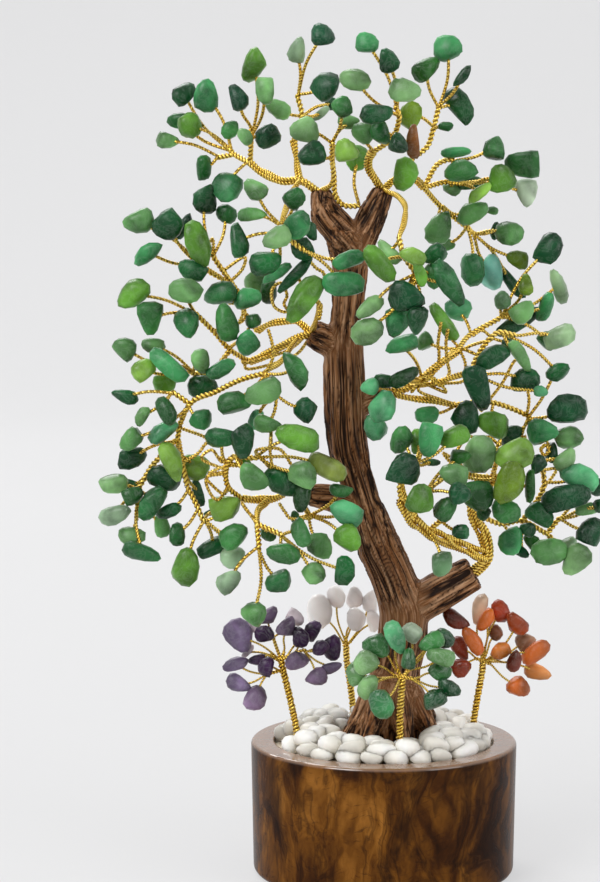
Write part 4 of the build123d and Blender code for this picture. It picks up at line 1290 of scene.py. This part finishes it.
# %% Make every spray
SWELL = 1.16
STRAND_WIDTH = 0.0021
TWIG_WIDTH = 0.0014
STARTS = {spots[0] for _, strands in SPRAYS_PX.values() for spots in strands}
for name, (letters, strands) in SPRAYS_PX.items():
    colours = colours_of(letters, GREENS)
    middles = shape_stones(f"{name}_chips", f"{name}_stones", colours, green_stone,
                           SWELL)
    paths = [[place(*spot, spread=CROWN_DEPTH_SHARE) for spot in spots] for spots in strands]
    wiring = Wiring()
    forks = lay_twigs(wiring, paths, middles, TWIG_WIDTH)
    for spots, path in zip(strands, paths):
        carries_on = spots[-1] in STARTS
        wiring.twist(path if carries_on else trimmed(path, forks), STRAND_WIDTH, FINE_STOCK)
    deep, loose = LOOSE_PX.get(name, (0, []))
    for spots in loose:
        points = [place(*spot, deep, spread=CROWN_DEPTH_SHARE) for spot in spots]
        wiring.twist(led_back(points, paths), TWIG_WIDTH, THIN_STOCK)
    piece = wiring.finish(f"{name}_twists", f"{name}_wires")
    print(name, "stones", len(middles), "wire faces", len(piece.data.polygons))

# %% [markdown]
# ## The small trees
# Each small tree has a stem of three twisted pairs, wound like a rope and set in the
# filling, and thin wires that fan out at its top, with amethyst, milky quartz, dark
# aventurine or carnelian.

# %% Routes of the small trees
SMALL_TREES_PX = {  # the letters, the stem and the strands
    "amethyst": (
        "g p D l p l D D D D g l l g p D D g l",
        [(297, 735, -19), (291, 703, -19), (283, 670, -21), (281, 660, -22)],
        [
            [(281, 660, -22), (288, 641, -26)], [(281, 660, -22), (274, 640, -16), (273, 628, -16)],
            [(281, 660, -22), (303, 650, -32), (313, 662, -30)],
            [(283, 670, -21), (268, 674, -24), (256, 680, -24)], [(281, 660, -22), (262, 650, -14)],
        ],
    ),
    "quartz": (
        "w w w w w w",
        [(353, 713, 86), (351, 690, 86), (347, 663, 86), (346, 645, 86)],
        [
            [(346, 645, 86), (344, 622, 88)], [(346, 645, 86), (332, 630, 82)],
            [(346, 645, 86), (362, 633, 92)],
        ],
    ),
    "aventurine": (
        "dm le w d md D lm md D D l lm l em",
        [(400, 748, -78), (400, 715, -78), (402, 684, -78), (402, 677, -78)],
        [
            [(402, 677, -78), (388, 660, -84)], [(402, 677, -78), (381, 674, -84)],
            [(402, 677, -78), (421, 658, -84)], [(402, 677, -78), (428, 681, -84)],
        ],
    ),
    "carnelian": (
        "d p o r ro b dr o dr yo pb o d po o",
        [(473, 728, 13), (477, 700, 13), (482, 672, 13), (483, 661, 13)],
        [
            [(483, 661, 13), (479, 638, 10)], [(483, 661, 13), (466, 655, 6)],
            [(483, 661, 13), (490, 643, 18)], [(483, 661, 13), (508, 657, 10)],
            [(483, 661, 13), (507, 671, 10)],
        ],
    ),
}

# %% Make the small trees
SMALL_FINISHES = {
    "amethyst": (amethyst_stone, "amethyst", LILACS),
    "quartz": (quartz_stone, "pale_quartz", WHITES),
    "aventurine": (aventurine_stone, "dark_aventurine", GREENS),
    "carnelian": (carnelian_stone, "carnelian", REDS),
}
SMALL_SWELL = 1.07
ROPE = (0.0030, 3, 0.0056, 0.0)  # width, pairs, the length of a turn, and no straying
ROOT_HEIGHT = 0.038
SMALL_STRAND_WIDTH = 0.0014
SMALL_TWIG_WIDTH = 0.0009
for name, (letters, stem, strands) in SMALL_TREES_PX.items():
    finish, slot, tones = SMALL_FINISHES[name]
    middles = shape_stones(f"{name}_tree_chips", f"{name}_stones", colours_of(letters, tones),
                           finish, SMALL_SWELL)
    paths = [[place(*spot) for spot in spots] for spots in strands]
    rise = [place(*spot) for spot in stem]
    root = Vector((rise[0].x, rise[0].y, ROOT_HEIGHT))
    wiring = Wiring()
    wiring.bundle([root, *rise], *ROPE)
    forks = lay_twigs(wiring, paths, middles, SMALL_TWIG_WIDTH)
    for path in paths:
        wiring.twist(trimmed(path, forks), SMALL_STRAND_WIDTH, FINE_STOCK)
    wiring.finish(f"{name}_twists", f"{name}_tree_wires")
    print(name, "stones", len(middles))

# %% [markdown]
# ## Floor, light and background
# The floor is plain and pale and bends up into a backdrop, so that no edge shows. A
# large soft lamp at the upper left stands for the window of the photograph, a weaker
# one fills from the right, and one behind gives the rim of the pot its pale shine. To
# the camera, and in reflections, floor and world are mostly one plain pale grey.

# %% The floor and its backdrop
FLOOR_SIZE = 6
FLOOR_MIDDLE = (0, -1.4, 0)
BEND_STEPS = 12
BEND_STEP = 0.10
BEND_TURN = math.radians(7.5)
WALL_HEIGHT = 4
clear_selection()
bpy.ops.mesh.primitive_plane_add(size=FLOOR_SIZE, location=FLOOR_MIDDLE)
floor = bpy.context.object
floor.name = "pale_floor"
bpy.ops.object.transform_apply(location=True, rotation=True, scale=True)
bpy.ops.object.mode_set(mode="EDIT")
bpy.ops.mesh.select_mode(type="EDGE")
bpy.ops.mesh.select_all(action="DESELECT")
sheet = bmesh.from_edit_mesh(floor.data)
for edge in sheet.edges:
    edge.select = all(vertex.co.y > 1.5 for vertex in edge.verts)
bmesh.update_edit_mesh(floor.data)
for step in range(BEND_STEPS):
    lift = BEND_TURN * (step + 0.5)
    rise = (0, BEND_STEP * math.cos(lift), BEND_STEP * math.sin(lift))
    bpy.ops.mesh.extrude_region_move(TRANSFORM_OT_translate={"value": rise})
bpy.ops.mesh.extrude_region_move(TRANSFORM_OT_translate={"value": (0, 0, WALL_HEIGHT)})
bpy.ops.object.mode_set(mode="OBJECT")
bpy.ops.object.shade_smooth_by_angle(angle=math.radians(40))
print("floor", tuple(floor.dimensions))

# %% A plain pale floor
PALE = (0.76, 0.76, 0.77, 1)
PALE_SHARE = 0.7
ground = Finish("floor", Roughness=0.8)
dust = ground.clouds(ground.place(), 3, 2)
ground.give(Base_Color=ground.ramp(dust, (0.3, (0.78, 0.78, 0.78)), (0.7, (0.80, 0.80, 0.80))))
glow = ground.node("ShaderNodeEmission", {"Color": PALE})
matt = Signal(ground, ground.surface.outputs[0])
ground.blend_shaders(ground.seen() * PALE_SHARE, matt, glow, "Material Output")
coat(floor, ground)
print("floor finished")

# %% The lamps
LIT_POINT = Vector((0, 0, 0.15))


def lamp(name, spot, size, power):
    """A soft square lamp that faces the tree."""
    turn = (LIT_POINT - Vector(spot)).to_track_quat("-Z", "Y").to_euler()
    bpy.ops.object.light_add(type="AREA", location=spot, rotation=turn)
    light = bpy.context.object
    light.name = name
    light.data.size = size
    light.data.energy = power


lamp("window", (-1.5, -1.6, 2.0), 1.3, 41)
lamp("fill", (2.0, -1.4, 1.1), 1.4, 16)
lamp("back", (-0.5, 1.3, 1.5), 1.0, 17)
print("lamps ready")

# %% The world
world = bpy.data.worlds.new("studio")
bpy.context.scene.world = world
world.use_nodes = True
room = Network(world.node_tree)
white = room.tree.nodes["Background"]
white.inputs["Color"].default_value = (1, 1, 1, 1)
white.inputs["Strength"].default_value = 0.58
grey = room.node("ShaderNodeBackground", {"Color": (0.82, 0.82, 0.83, 1)})
room.blend_shaders(room.seen(), Signal(room, white.outputs[0]), grey, "World Output")
bpy.context.scene.view_settings.view_transform = "Standard"
print("world ready")
